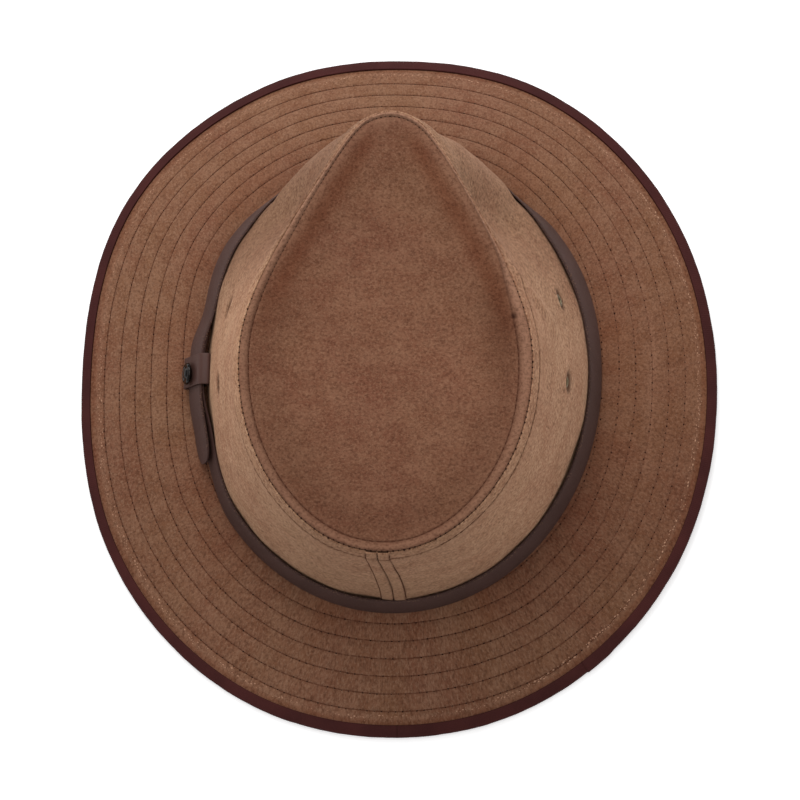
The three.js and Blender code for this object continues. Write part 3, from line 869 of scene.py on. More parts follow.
above, below, edge = spiral_path(sewn_turns, False), spiral_path(sewn_turns, True), edge_path()
brim_sewing = [
    stitches(*edge, edge_pitch, gap=0.0005, radius=0.00013, jitter=0.2, seed=4),
    stitches(*above, stitch_pitch, radius=0.00015, seed=2),
    stitches(*below, stitch_pitch, seed=3),
]
thread_piece("brim_thread", brim_sewing, brown_thread, "tape", rubbed=1.0)
# Dark beads that paint the shade in the needle holes.
brim_holes = [
    beads(
        *above, stitch_pitch, length=0.0009, width=0.0008, height=0.0005, spread=0.00012, seed=5, keep=0.85
    ),
    beads(*edge, edge_pitch, length=0.0007, width=0.0004, height=0.0002, seed=6),
]
thread_piece("brim_needle_hole_shade", brim_holes, needle_hole_shade, "tape")
# Pale beads that paint the highlights on the suede puckered between the edge row's stitches.
pucker_beads = [
    beads(*edge, 0.0014, length=0.0017, width=0.001, height=0.0006, spread=0.0006, seed=7, keep=0.55),
    beads(*edge, 0.0009, length=0.0009, width=0.0007, height=0.0006, spread=0.0009, seed=8, keep=0.55),
]
thread_piece("edge_pucker_highlights", pucker_beads, pucker_highlight, "suede")

# %% [markdown]
# The tape is folded over the brim's edge, with ribs that run across it. The ribs are real, a small wave
# round the hat on the outer skin of the tape, because the edge of the hat is seen against the light
# floor. The tape's ends overlap at the back right, which shows as a small step, and a joint at the back
# shows as a dark line. Nothing of the tape reaches below the floor.

# %% Make the tape round the edge
rib_count = 1160
rib_samples = 4
rib_height = 0.00007


def tape_width(angle):
    """Width of the tape on the upper face, inwards from the brim's edge: it wanders with two cosines."""
    a = np.radians(angle)
    return 0.00458 + 0.00055 * np.cos(2 * a) - 0.00042 * np.cos(a) - 0.0002 * np.sin(a)


lap_start = 316.5
lap_end = 321.2
back_joint = 357.7


def make_tape():
    """The folded tape: a closed profile in the plane across the edge, carried round the hat."""
    channel = brim_thickness / 2 + clearance
    half = channel + tape_thickness
    bend = np.radians(np.linspace(90, -90, 9))
    nose_x = 0.0002 + (tape_overhang - 0.0002) * np.cos(bend)
    nose_y = half * np.sin(bend)
    columns = rib_count * rib_samples
    angle = np.arange(columns) * TURN / columns
    width = tape_width(angle)[:, None]
    shares = np.array([1.0, 1.0, 0.985, 0.93, 0.5])
    top_x = -width * shares
    top_y = np.array([channel, half - 0.00015, half - 0.00003, half, half]) + 0 * width
    low_x, low_y = -(width + 0.0006) * shares[::-1], -top_y[:, ::-1]
    nose = [np.broadcast_to(v, (columns, 9)) for v in (nose_x, nose_y)]
    inner_x = np.broadcast_to([clearance, clearance], (columns, 2))
    inner_y = np.broadcast_to([-channel, channel], (columns, 2))
    x = np.concatenate([top_x, nose[0], low_x, inner_x], 1)
    y = np.concatenate([top_y, nose[1], low_y, inner_y], 1)
    ribbed = np.array([0, 0.3, 0.8, 1, 1] + [1] * 9 + [1, 1, 0.8, 0.3, 0] + [0, 0])
    lap = ease(turned(angle, lap_end), 0.1, -0.1) * ease(turned(angle, lap_start), -1.5, 0.5)
    wave = rib_height * np.cos(2 * np.pi * np.arange(columns) / rib_samples)[:, None] * ribbed
    wave = wave + 0.0004 * lap[:, None] * ribbed
    wave = wave + 0.00008 * waves(np.radians(angle) * 0.15, 31, 5, 0.04)[:, None] * ribbed
    ahead = np.roll(np.stack([x, y], -1), -1, 1) - np.roll(np.stack([x, y], -1), 1, 1)
    normal = unit(np.stack([-ahead[..., 1], ahead[..., 0]], -1))
    x, y = x + normal[..., 0] * wave, y + normal[..., 1] * wave
    at, around, up = surface_at(angle, np.ones(columns))
    out = unit(np.cross(around, up))
    out = out * np.sign((out * at).sum(-1, keepdims=True))
    middle = at - up * brim_thickness / 2
    points = middle[:, None] + out[:, None] * x[..., None] + up[:, None] * y[..., None]
    points[..., 2] = np.maximum(points[..., 2], 0)
    rows = x.shape[1]
    faces = ring_faces(columns, rows)[..., other_way].reshape(-1, 4)
    dark = 0.35 * lap * bell(turned(angle, lap_end), 0, 0.25)
    dark = dark + 0.6 * bell(turned(angle, back_joint), 0, 0.12)
    marks = {"dark": np.repeat(dark, rows), "pale": 0.0}
    return put_mesh("edge_tape", points.reshape(-1, 3), faces, marks, ribbed_tape)


dress(make_tape(), "tape", "brim_binding")

# %% [markdown]
# The crown's wall carries the most to see: the seam up the back with a row of stitches on each side, the
# row under the rim, four eyelets sunk in soft dents, and the pinches in front. The grid's columns are
# packed close where the seam runs and are slanted to follow it, since the seam climbs in a slight S. Its
# rows are packed at the eyelets and at the rim, where the leather rolls over into the seam of the tip. In
# the back seam's own table the first column isn't a round angle but a share of the wall's height.

# %% Lay out the wall
wall_columns = 520
EYELETS = {
    "name": ["eyelet_left_front", "eyelet_left_back", "eyelet_right_front", "eyelet_right_back"],
    "angle": [102, 81.5, 253.5, 275.5],
    "height": [0.46, 0.51, 0.41, 0.49],
}
BACK_SEAM_ROWS = {"angle": [0, 0.16, 0.36, 0.6, 0.81, 1], "slant": [-2.0, -2.03, -2.06, -1.23, 0.35, 1.2]}
seam_gap = 0.0063
rim_row = 0.0066
rim_row_left = 0.0032
fold_angle = 252.0
fold_slant = 29.0
ROLL_ROWS = {"out": [0.25, 0.3, 0.1, -0.3, -0.6, -0.7], "up": [0.45, 0.85, 1.2, 1.25, 0.8, 0.2]}
MM = 0.001


def seam_slant(share):
    """Round angle of the back seam at a share of the wall's height."""
    return smooth_column(BACK_SEAM_ROWS, "slant", share)


def wall_angles():
    """Columns an equal step apart, with more at the back seam, its two rows and the eyelets."""
    even = np.arange(wall_columns) * TURN / wall_columns
    close = np.array([-0.5, -0.28, -0.13, 0, 0.13, 0.28, 0.5])
    row = np.degrees(seam_gap / (crown_foot_length / 2 - 0.008))
    seam = np.concatenate([close, row + close, -row + close])
    near = np.concatenate([angle + np.linspace(-2.6, 2.6, 15) for angle in EYELETS["angle"]])
    every = np.sort(np.mod(np.concatenate([even, seam, near]), TURN))
    return every[np.diff(every, append=every[0] + TURN) > 0.07]


def wall_shares():
    """Rows up the wall: sparse under the strap, close at the eyelets and close round the row under the
    rim."""
    low = np.linspace(0, 0.18, 5)
    spans = [(0.2, 0.36, 8), (0.37, 0.55, 21), (0.57, 0.88, 13)]
    middle = np.concatenate([np.linspace(*span) for span in spans])
    reach = tip_height_side
    close = 1 - (rim_row + np.array([0.0012, 0.0006, 0.0003, 0, -0.0003, -0.0006, -0.0012])) / reach
    left_steps = np.array([0.0012, 0.0006, 0.0002, -0.0002, -0.0006, -0.0012])
    left = 1 - (rim_row + rim_row_left + left_steps) / reach
    return np.concatenate([low, middle, left, close, [0.965, 0.985, 1.0]])


print("columns", len(wall_angles()), "rows", len(wall_shares()) + len(ROLL_ROWS["out"]))


# %% Describe the wall's finer forms
def away_from_front(angle):
    """Degrees round from the front, on either side."""
    return TURN / 2 - folded(angle)


def degree_length(angle, share):
    """Length of one degree round the wall: the distance from the crown's axis times pi over 180."""
    return np.linalg.norm(wall(angle, share)[..., :2], axis=-1) * np.pi / 180


def rim_row_at(angle):
    """How far below the rim the row runs: a little further on the wearer's left."""
    return rim_row + rim_row_left * bell(turned(angle, 84), 0, 34)


def wall_detail(angle, share):
    """How far the leather stands off the plain wall: a shoulder below the rim, grooves at the rows, a ridge
    along the back seam's allowance, a fold at the end of the right pinch, dents at the eyelets and a slow
    unevenness. Also how dark each point is: painted shade in the grooves, the back seam and its rows, and
    round each eyelet's dent."""
    height = wall_height(angle)
    below = (1 - share) * height
    scale = degree_length(angle, share)
    across = turned(angle, seam_slant(share)) * scale
    groove = bell(below, rim_row_at(angle), 0.0005) * ease(away_from_front(angle), 66, 78)
    seam = bell(across, 0, 0.00035)
    rows = bell(np.abs(across), seam_gap, 0.00035)
    allowance = 0.0006 * ease(np.abs(across), seam_gap + 0.0012, seam_gap - 0.0004)
    shoulder = 0.0010 * bell(below, 0.007, 0.006)
    fold_line = turned(angle, fold_angle + fold_slant * (1 - share)) * scale
    fold = 0.0011 * bell(fold_line, 0, 0.0028) * ease(share, 0.5, 0.75) * ease(share, 1.0, 0.93)
    rise = shoulder + allowance + fold - 0.0005 * groove - 0.0009 * seam - 0.0005 * rows
    rise = rise + 0.0006 * waves(np.radians(angle) * 0.09 + 0.7 * below, 41, 4, 0.11) * ease(below, 0, 0.02)
    # Painted shade in the groove under the rim, the back seam and its rows.
    dark = 0.65 * groove + 0.55 * seam + 0.25 * rows
    for eye_angle, eye_height in zip(EYELETS["angle"], EYELETS["height"]):
        near = np.hypot(turned(angle, eye_angle) * scale, (share - eye_height) * height)
        rise = rise - 0.0011 * bell(near, 0, 0.0034) + 0.0005 * bell(near, 0.0056, 0.002)
        # Painted shade in the dent round the eyelet.
        dark = dark + 0.75 * bell(near, 0.0026, 0.0015)
    return rise, np.clip(dark, 0, 1)


front_press_depth = 0.0016


def front_press(angle):
    """How deep the strap has pressed the foot of the wall across the front, where it can't be seen from
    above."""
    return front_press_depth * ease(folded(angle), 130, 144)


def wall_frame(angle, share):
    """Point, direction round and outward normal of the plain wall."""
    at, around, normal = surface_frame(wall, angle, share)
    return at, around, normal * np.sign((normal * foot_outward(angle)).sum(-1, keepdims=True))


def eyelet_frame(angle, height):
    """The same three at one place, for an eyelet."""
    return [v[0] for v in wall_frame(np.array([angle]), np.array([height]))]


# %% [markdown]
# Each eyelet needs a true hole through both faces. The faces of the grid inside the hole are left out,
# the points round the gap are drawn onto a circle, and the outer and inner skins are joined through it.


# %% Make the wall
hole_radius = 0.0024


def make_wall():
    """The wall as one closed skin: the outer face is the plain wall plus its finer form along the normal,
    the inner one lies the thickness behind it, and a rolled rim, a foot and the holes join the two."""
    column, share = np.meshgrid(wall_angles(), wall_shares(), indexing="ij")
    near_back = 1 - ease(np.abs(turned(column, 0)), 9, 40)
    angle = column + seam_slant(share) * near_back
    at, _, normal = wall_frame(angle, share)
    rise, dark = wall_detail(angle, share)
    columns, rows = share.shape
    hole = np.zeros((columns, rows - 1), bool)
    for eye_angle, eye_height in zip(EYELETS["angle"], EYELETS["height"]):
        centre, out_round, out = eyelet_frame(eye_angle, eye_height)
        rise_way = np.cross(out, out_round)
        flat = at - centre
        u, v = flat @ out_round, flat @ rise_way
        near = np.abs(turned(angle, eye_angle)) < 6
        inside = (np.hypot(u, v) < hole_radius) & near
        cut = inside | np.roll(inside, -1, 0)
        cut = cut[:, :-1] | cut[:, 1:]
        hole |= cut
        touched = np.zeros_like(inside)
        touched[:, :-1] |= cut
        touched[:, 1:] |= cut
        touched |= np.roll(touched, 1, 0)
        edge = touched & ~inside
        away = np.maximum(np.hypot(u, v), 1e-6)
        snap = np.where(edge, hole_radius / away, 1)[..., None]
        turned_in = centre + out_round * (u[..., None] * snap) + rise_way * (v[..., None] * snap)
        depth = (flat @ out)[..., None]
        at = np.where(edge[..., None], turned_in + out * depth, at)
    at = at - foot_outward(angle) * (front_press(angle) * ease(share, 0.25, 0.16))[..., None]
    outer = at + normal * rise[..., None]
    inner = at - normal * (wall_thickness - 0.3 * rise)[..., None]
    inner[:, 0, 2] = outer[:, 0, 2] = 0
    roll_out, roll_up = (np.array(ROLL_ROWS[key]) * MM for key in ("out", "up"))
    level = foot_outward(angle[:, -1:])
    roll = outer[:, -1:] + level * roll_out[None, :, None] + np.array([0, 0, 1.0]) * roll_up[None, :, None]
    skin = np.concatenate([outer, roll], 1)
    total = skin.shape[1]
    first = columns * total
    outer_faces = grid_faces(columns, total).reshape(columns, total - 1, 4)
    inner_faces = grid_faces(columns, rows, 0, first)[:, ::-1].reshape(columns, rows - 1, 4)
    keep = ~hole
    keep_outer = np.concatenate([keep, np.ones((columns, total - rows), bool)], 1)
    i = np.arange(columns)
    faces = [
        outer_faces[keep_outer],
        inner_faces[keep],
        strip_faces(i * total, first + i * rows),
        strip_faces(first + i * rows + rows - 1, i * total + total - 1),
        *hole_sides(keep, total, rows, first),
    ]
    points = np.concatenate([skin.reshape(-1, 3), inner.reshape(-1, 3)])
    # Painted shade where the rim rolls over into the tip's seam.
    roll_dark = np.repeat(0.7 * ease(np.arange(6), 3, 5.5)[None], columns, 0)
    return points, np.concatenate(faces), np.concatenate([dark, roll_dark], 1), angle, share, total


def hole_sides(keep, total, rows, first):
    """Faces that join the outer skin to the inner one round each gap, one for each edge that the gap lays
    bare."""
    before = np.roll(keep, 1, 0)
    i, j = np.nonzero(keep != before)
    low, high = (i * total + j, first + i * rows + j), (i * total + j + 1, first + i * rows + j + 1)
    upright = np.stack([low[0], high[0], high[1], low[1]], -1)
    flip = keep[i, j]
    yield np.where(flip[:, None], upright, upright[:, ::-1])
    i, j = np.nonzero(keep[:, 1:] != keep[:, :-1])
    j = j + 1
    after = (i + 1) % len(keep)
    one, other = (i * total + j, first + i * rows + j), (after * total + j, first + after * rows + j)
    level = np.stack([one[0], other[0], other[1], one[1]], -1)
    flip = keep[i, j]
    yield np.where(flip[:, None], level[:, ::-1], level)


def wall_lie(angle, up):
    """The lie of the nap on the wall: the angle on a small circle and the height, so noise is drawn out
    round it."""
    a = np.radians(angle)
    return point(0.06 * np.sin(a), 0.06 * np.cos(a), up)


def dress_wall():
    """The wall with its marks, which fade round the hat and up the wall: painted shade in front, behind and
    at the foot, a reddish painted shade high up and on the pinches, most on the right, and painted
    highlights on the rim in front, the pinches' ridges and the right side."""
    points, faces, dark, angle, share, total = make_wall()
    columns, rows = share.shape
    skin_share = np.concatenate([share, np.ones((columns, total - rows))], 1)
    skin_angle = np.concatenate([angle, np.repeat(angle[:, -1:], total - rows, 1)], 1)
    from_front = away_from_front(skin_angle)
    # Painted highlights: the rolled rim in front, the pinches' ridges and a lighter band on the right.
    front_rim = ease(from_front, 62, 25) * bell(skin_share, 1.0, 0.035)
    ridge = 0.4 * bell(from_front, 31, 5) * bell(skin_share, 0.5, 0.3)
    top = ease(skin_share, 0.55, 1.0)
    right = bell(turned(skin_angle, 268), 0, 40)
    upper = ease(skin_share, 0.55, 0.95)
    off_front = turned(skin_angle, 180)
    # Painted shade: darker in front, over the back half and most at the back, at the foot under the strap,
    # and a little high up behind on the right.
    shade = (0.42 + 0.22 * ease(off_front, 14, -14)) * ease(from_front, 84, 56)
    shade = shade + 0.15 * ease(from_front, 110, 165) + 0.2 * ease(skin_share, 0.22, 0.13)
    shade = shade + 0.05 * upper * ease(off_front, 70, 95) * ease(from_front, 180, 150)
    shade = shade + 0.4 * bell(turned(skin_angle, 6), 0, 46)
    # Reddish painted shade high up away from the front, most on the right, and on the pinches; partly the
    # hide's own redder tone.
    warm_shade = (0.1 + 0.2 * right) * top * ease(from_front, 50, 100) + 0.16 * ease(from_front, 84, 56)
    pale = 0.35 * front_rim + ridge + 0.16 * bell(turned(skin_angle, 276), 0, 26)
    inner = np.zeros(columns * rows)
    every_angle = np.concatenate([skin_angle.ravel(), angle.ravel()])
    marks = {
        "hide": wall_lie(every_angle, points[:, 2]),
        "dark": np.concatenate([dark.ravel(), inner + 0.1]),
        "shade": np.concatenate([(shade * (1 - 0.5 * front_rim)).ravel(), inner]),
        "warm_shade": np.concatenate([warm_shade.ravel(), inner]),
        "pitted": np.concatenate([(0.5 * ease(from_front, 92, 70)).ravel(), inner]),
        "pale": np.concatenate([pale.ravel(), inner]),
    }
    piece = put_mesh("crown_wall", crown_to_hat(points), faces, marks, wall_hide)
    return dress(piece, "wall_suede", "crown_side")


dress_wall()

# %% [markdown]
# The tip is a teardrop of suede, sewn to the wall face to face and turned, so its edge rolls down into
# the seam. A row of stitches lies up to six millimetres inside the seam and nears it in front. The
# leather inside the row sinks as a dish, never quite even.

# %% Make the tip
tip_columns = 560
nick_angle = 264.6
EDGE_ROWS = {"inset": [0.9, 0.45, 0.35, 0.5, 0.9, 1.6], "drop": [2.0, 1.7, 1.1, 0.55, 0.15, 0.0]}
ROW_STEPS = [-0.0014, -0.0007, -0.00035, 0, 0.00035, 0.0007, 0.0014]
tip_middle = np.array([tip_aside, -tip_forward, tip_height_side])
TIP_SEWING = {
    "angle": [0, 60, 81, 98, 114, 130, 145, 160, 175, 190]
    + [205, 220, 235, 248, 256, 266, 277, 300, 330, 360],
    "inset": [4.3, 4.3, 4.2, 3.6, 3.0, 2.0, 1.4, 1.3, 1.9, 1.9]
    + [1.3, 0.9, 1.0, 1.8, 3.9, 5.6, 5.9, 5.0, 4.4, 4.3],
}


def tip_row_inset(angle):
    """How far inside the rim the row of stitches runs: it nears the rim in front and swings in at the
    right."""
    return MM * smooth_column(TIP_SEWING, "inset", np.mod(angle, TURN), True)


def rim_slope(angle):
    """How much longer the way to the tip's middle is than the way straight in from the rim."""
    nearby = 0.5
    ahead = unit((tip_rim(angle + nearby) - tip_rim(angle - nearby))[..., :2])
    inward = unit(tip_middle[:2] - tip_rim(angle)[..., :2])
    return 1 / np.maximum(np.abs(ahead[..., 0] * inward[..., 1] - ahead[..., 1] * inward[..., 0]), 0.3)


def tip_reach(angle):
    """Level distance from the rim to the tip's middle."""
    return np.linalg.norm((tip_rim(angle) - tip_middle)[..., :2], axis=-1)


def tip_share(angle, inset):
    """Share of the way from the rim to the middle at an inset measured straight in from the rim."""
    return np.clip(inset * rim_slope(angle) / tip_reach(angle), 0, 1)


def tip_face(angle, share):
    """The upper face: rim to middle by a share, sunk by the dish."""
    at = tip_rim(angle) * (1 - share)[..., None] + tip_middle * share[..., None]
    at[..., 2] -= dish_depth * (1 - (1 - share) ** dish_curve)
    return at


def tip_grid():
    """Angles, shares and insets of the tip's points: the rolled edge, the sewn row, then even steps to
    the middle."""
    angle = (np.arange(tip_columns) * TURN / tip_columns)[:, None]
    row = tip_row_inset(angle)
    shrunk = np.minimum(row / 0.0036, 1)
    edge = np.array(EDGE_ROWS["inset"])[None] * MM * shrunk
    close = np.concatenate([edge, 0.58 * row, row + np.array(ROW_STEPS)[None] * shrunk], 1)
    share = tip_share(angle, close)
    last = share[:, -1:]
    share = np.concatenate([share, last + (1 - last) * np.linspace(0, 1, 34)[None, 1:]], 1)
    return angle + 0 * share, share, share * tip_reach(angle) / rim_slope(angle)


def make_tip():
    """Both faces of the tip. The edge of the upper one is rolled down by a table of drops, the first of
    which is the tip's thickness, so that it meets the lower face there."""
    angle, share, inset = tip_grid()
    columns, rows = share.shape
    points = tip_face(angle, share)
    off_row = inset - tip_row_inset(angle)
    from_front = away_from_front(angle)
    groove = bell(off_row, 0, 0.0004) * (1 - 0.8 * bell(turned(angle, 230), 0, 18))
    nick = bell(turned(angle, nick_angle), 0, 0.6) * bell(off_row, -0.0006, 0.0012)
    uneven = 0.0008 * waves(points[..., 1] + 0.6 * points[..., 0], 51, 4, 0.13) * ease(inset, 0.003, 0.02)
    uneven = uneven * (1 - share**8)
    right = bell(turned(angle, 262), 0, 26)
    between = bell(inset / tip_row_inset(angle), 0.5, 0.42)
    bead = (0.0003 + 0.0002 * ease(from_front, 60, 90) + 0.0005 * right) * between
    points[..., 2] += bead - 0.0005 * groove - 0.0006 * nick + uneven
    under = points[:, 4:].copy()
    under[..., 2] -= tip_thickness
    drop = np.array(EDGE_ROWS["drop"]) * MM
    points[:, : len(drop), 2] -= drop
    low_rows = under.shape[1]
    first = columns * rows
    faces = [
        grid_faces(columns, rows)[:, ::-1],
        grid_faces(columns, low_rows, 0, first),
    ]
    every = np.concatenate([points.reshape(-1, 3), under.reshape(-1, 3)])
    # Painted light on the tip: shade darkens its back and, over the sides and behind, the rim, most on the
    # right; band paints a reddish shade on the steep slopes inside the seam at the front corners; edge_dark
    # paints shade where the edge rolls down into the seam, over the sides and behind; dark also paints
    # shade in the row's groove and the nick; pale paints highlights on the roll between the seam and the
    # row, on the rim in front and just inside the row in front.
    band = bell(inset, 0.0085, 0.0042) * ease(from_front, 100, 74) * ease(from_front, 4, 20)
    behind = ease(from_front, 60, 84)
    edge_dark = np.concatenate([[0.7, 0.5, 0.3, 0.1], np.zeros(rows - 4)])[None] * behind
    front_pale = 0.6 * ease(from_front, 90, 50) * ease(off_row, 0.0002, -0.0003)
    halo = 0.25 * ease(from_front, 80, 50) * bell(off_row, 0.0014, 0.0016)
    back = ease(every[:first, 1].reshape(columns, rows), 0.0, 0.08)
    rim_side = bell(inset, 0.012, 0.009) * ease(from_front, 60, 95)
    marks = {
        "hide": every * np.array([0.8, 1, 1]),
        "dark": edge_dark + (0.25 + 0.2 * behind) * groove + nick,
        "shade": 0.32 * back + 0.16 * rim_side + 0.24 * rim_side * right + 0.14 * band,
        "warm_shade": 0.75 * band + 0.3 * right * rim_side,
        "pale": (0.3 + 0.35 * right) * between * behind + front_pale + halo,
    }
    for name in ("dark", "shade", "warm_shade", "pale"):
        marks[name] = np.concatenate([np.clip(marks[name], 0, 1).ravel(), np.zeros(columns * low_rows)])
    return put_mesh("crown_top", crown_to_hat(every), np.concatenate(faces), marks, tip_hide)


dress(make_tip(), "suede", "crown_tip")


# %% Sew the crown
def tip_path(start, end, inset, drop):
    """A line on the tip from one angle to another, at an inset from its rim and lowered by a drop."""
    angle = np.linspace(start, end, 1200)
    at = tip_face(angle, tip_share(angle, inset + 0 * angle))
    at[:, 2] -= drop
    up = np.broadcast_to([0, 0, 1.0], at.shape)
    return crown_to_hat(at), up


def wall_line(angle, share):
    """A line on the finished wall and the directions out of it."""
    at, _, normal = wall_frame(angle, share)
    rise, _ = wall_detail(angle, share)
    return crown_to_hat(at + normal * (rise + 0.0001)[:, None]), normal


def wall_path():
    """The row under the rim, round the back from one side to the other."""
    angle = np.linspace(-98, 108, 1100)
    return wall_line(angle, 1 - rim_row_at(angle) / wall_height(angle))


def seam_path(offset):
    """A line up the back seam, moved sideways by an offset."""
    share = np.linspace(0.13, 0.985, 200)
    return wall_line(seam_slant(share) + offset / degree_length(np.zeros(200), share), share)


top_row = tip_path(-94, 98, tip_row_inset(np.linspace(-94, 98, 1200)), 0.0004)
front_row = tip_path(98, 214, tip_row_inset(np.linspace(98, 214, 1200)), 0.0003)
rim_seam = tip_path(-104, 101, 0.0005, 0.0005)
side_row, back_rows = wall_path(), [seam_path(seam_gap), seam_path(-seam_gap)]
crown_pitch = 0.0031
rows = [top_row, side_row, *back_rows]
sewing = [stitches(*row, crown_pitch, 0.0006, 0.00022, seed=61 + i) for i, row in enumerate(rows)]
thread_piece("crown_thread", sewing, brown_thread, "tape", dark=0.5)
# Dark beads that paint the shade in the needle holes of the crown's rows and seams.
holes = [beads(*row, crown_pitch, 0.0008, 0.00045, 0.0003, seed=65 + i) for i, row in enumerate(rows)]
holes.append(beads(*rim_seam, 0.0023, 0.001, 0.0012, 0.0009, 0.00012, 69))
holes.append(beads(*front_row, 0.0019, 0.0011, 0.0004, 0.0003, 0.00006, 68))
holes.append(beads(*seam_path(0), 0.0024, 0.001, 0.0005, 0.0004, 0.0001, 70))
thread_piece("crown_needle_hole_shade", holes, needle_hole_shade, "tape")

# %% [markdown]
# The strap is one strip of smooth leather that runs round the crown, over its own covered end and out as
# a free tail. Its section is a flat bar with rounded edges. The upper edge was cut raw, so it is rough
# and dark with a few pale fibres. The strap follows the wall, stands off at the bottom, and rises to make
# room for the keeper.

# %% Describe the strap
band_height = 0.015
band_thickness = 0.0018
band_flare = 0.0022
band_front_flare = 0.0028
band_inner_end = 98
band_tail_end = 66
tail_ramp_start = 108
tail_ramp_end = 96
tail_point_length = 0.009
keeper_angle = 89.1
keeper_lean = 0.0016
stud_back = 0.0012
keeper_length = 0.014
keeper_thickness = 0.0012
keeper_slack = 0.0005


def keeper_room(angle):
    """One where the keeper passes behind the strap, fading to nothing on both sides."""
    away = np.abs(np.mod(angle, TURN) - keeper_angle)
    half = np.degrees(keeper_length / crown_foot_length)
    return 1 - ease(away, 1.3 * half, 4 * half)


def flare_at(angle):
    """How far the strap's lower edge stands off the wall: most at the front corners, nothing across the
    front."""
    wide = band_flare + (band_front_flare - band_flare) * ease(folded(angle), 90, 112)
    return wide * ease(folded(angle), 148, 114)


def brim_fall(angle, distance):
    """How far the brim has fallen at a distance outside the head oval."""
    inner, edge = (brim_top(angle, np.full(np.shape(angle), s)) for s in (0.0, 1.0))
    span = np.hypot(*np.moveaxis(edge - inner, -1, 0)[:2])
    return (inner[..., 2] - edge[..., 2]) * ((distance + wall_thickness) / span) ** brim_curve


def band_point(progress, height, depth):
    """A point of the strap in the crown: the wall at that height, moved out by the flare, the keeper's
    room, the overlap and the depth. Progress is a round angle, a whole turn less on the tail than on the
    covered end."""
    room = keeper_room(progress)
    flare = flare_at(progress)
    low = room * (keeper_thickness + keeper_slack) - brim_fall(progress, flare)
    z = low + band_height * height
    at = wall(progress, np.maximum(z, 0) / wall_height(progress))
    at[..., 2] = z
    overlap = 1 - ease(progress, tail_ramp_end - TURN, tail_ramp_start - TURN)
    offset_lean = overlap * 0.0013 * np.maximum(height, 0) ** 2
    sunk = front_press(progress)
    depth = depth * (1 - 0.25 * sunk / front_press_depth)
    offset = clearance - sunk + flare * (1 - height) + room * (keeper_thickness + clearance)
    tail_lift = 0.0018 * ease(progress, 88 - TURN, 70 - TURN)
    offset = offset + overlap * (band_thickness + clearance) - offset_lean + tail_lift + depth
    return at + foot_outward(progress) * offset[..., None]


# %% Make the strap
BAND_SECTION = {
    "height": [0.0, 0.0, 0.02, 0.06, 0.2, 0.4, 0.6, 0.8, 0.92]
    + [0.97, 1.0, 1.01, 1.0, 0.97, 0.9, 0.5, 0.1, 0.02],
    "depth": [0.3, 0.72, 0.95, 1.0, 1.0, 0.95, 0.87, 0.77, 0.69]
    + [0.63, 0.52, 0.36, 0.2, 0.06, 0, 0, 0, 0.06],
}


def make_band():
    """The strap as one closed skin: its section carried round, with a raw upper edge roughened at random,
    and a tail whose height grows from the end on the root of one minus the square of the way left."""
    start = band_tail_end - TURN
    point_span = np.degrees(tail_point_length / (crown_foot_length / 2))
    nose = start + point_span * (1 - np.cos(np.linspace(0, np.pi / 2, 16)))
    progress = np.concatenate([nose, np.arange(nose[-1] + 0.4, band_inner_end, 0.4)])[:, None]
    x = np.clip(1 - (progress - start) / point_span, 0, 1)
    full = (0.1 + 0.9 * np.sqrt(1 - x * x)) * (1 - 0.1 * ease(progress, 52, 64))
    height = np.array(BAND_SECTION["height"])[None]
    depth = np.array(BAND_SECTION["depth"])[None]
    draw = np.random.default_rng(71)
    ragged = np.array([0] * 9 + [0.4, 1, 1, 1, 0.4] + [0] * 4)[None]
    rough = draw.normal(0, 1, (len(progress), len(height[0]))) * ragged
    at = band_point(
        progress + 0 * height,
        0.5 + (height - 0.5) * full + rough * 0.006,
        band_thickness * (depth + 0.05 * rough),
    )
    columns, rows = at.shape[:2]
    at = at.reshape(-1, 3)
    ends = np.stack([at[:rows].mean(0), at[-rows:].mean(0)])
    j = np.arange(rows)
    k = np.roll(j, -1)
    body = ring_faces(columns, rows)[:-1, :, other_way].reshape(-1, 4)
    last = (columns - 1) * rows
    head = np.stack([j * 0 + columns * rows, k, j, j], -1)
    tail = np.stack([j * 0 + columns * rows + 1, last + j, last + k, last + k], -1)
    raw = np.array([0] * 8 + [0.1, 0.4, 0.6, 0.7, 0.7, 0.7, 0.6, 0.3, 0.3, 0.2])
    # Painted shade: the strap darkens towards the back of the hat.
    back = 0.3 * bell(turned(progress, 0), 0, 70)
    dark = np.concatenate([np.maximum(raw[None], back).ravel(), [0.3, 0.3]])
    marks = {"dark": dark, "pale": 0.0}
    points = crown_to_hat(np.concatenate([at, ends]))
    return put_mesh("strap", points, np.concatenate([body, head, tail]), marks, smooth_strap)


dress(make_band(), "strap_leather", "hat_band")


def make_fibres(count=1200, seed=72):
    """Fine fibres on the strap's raw upper edge: each a thin spike of three sides, leaning at random."""
    draw = np.random.default_rng(seed)
    progress = draw.uniform(band_tail_end - TURN + 3, 60, count)
    root = band_point(progress, np.full(count, 1.0), band_thickness * draw.uniform(0.1, 0.95, count))
    sway = [draw.normal(0, 0.6, count), draw.normal(0, 0.6, count), draw.uniform(0.3, 1, count)]
    lean = unit(np.stack(sway, -1))
    tip = root + lean * draw.uniform(0.0003, 0.0009, count)[:, None]
    side = unit(np.cross(lean, foot_outward(progress)))
    other = np.cross(side, lean)
    a = np.arange(3) * 2 * np.pi / 3
    ring = side[:, None] * np.cos(a)[None, :, None] + other[:, None] * np.sin(a)[None, :, None]
    feet = root[:, None] + ring * 0.00019
    points = np.concatenate([feet, tip[:, None]], 1)
    one = np.array([[0, 1, 3, 3], [1, 2, 3, 3], [2, 0, 3, 3], [0, 2, 1, 1]])
    faces = (one[None] + 4 * np.arange(count)[:, None, None]).reshape(-1, 4)
    marks = {"dark": 0.0, "pale": np.repeat(draw.uniform(0, 0.8, count), 4)}
    return put_mesh("strap_fibres", crown_to_hat(points.reshape(-1, 3)), faces, marks, strap_fibre)


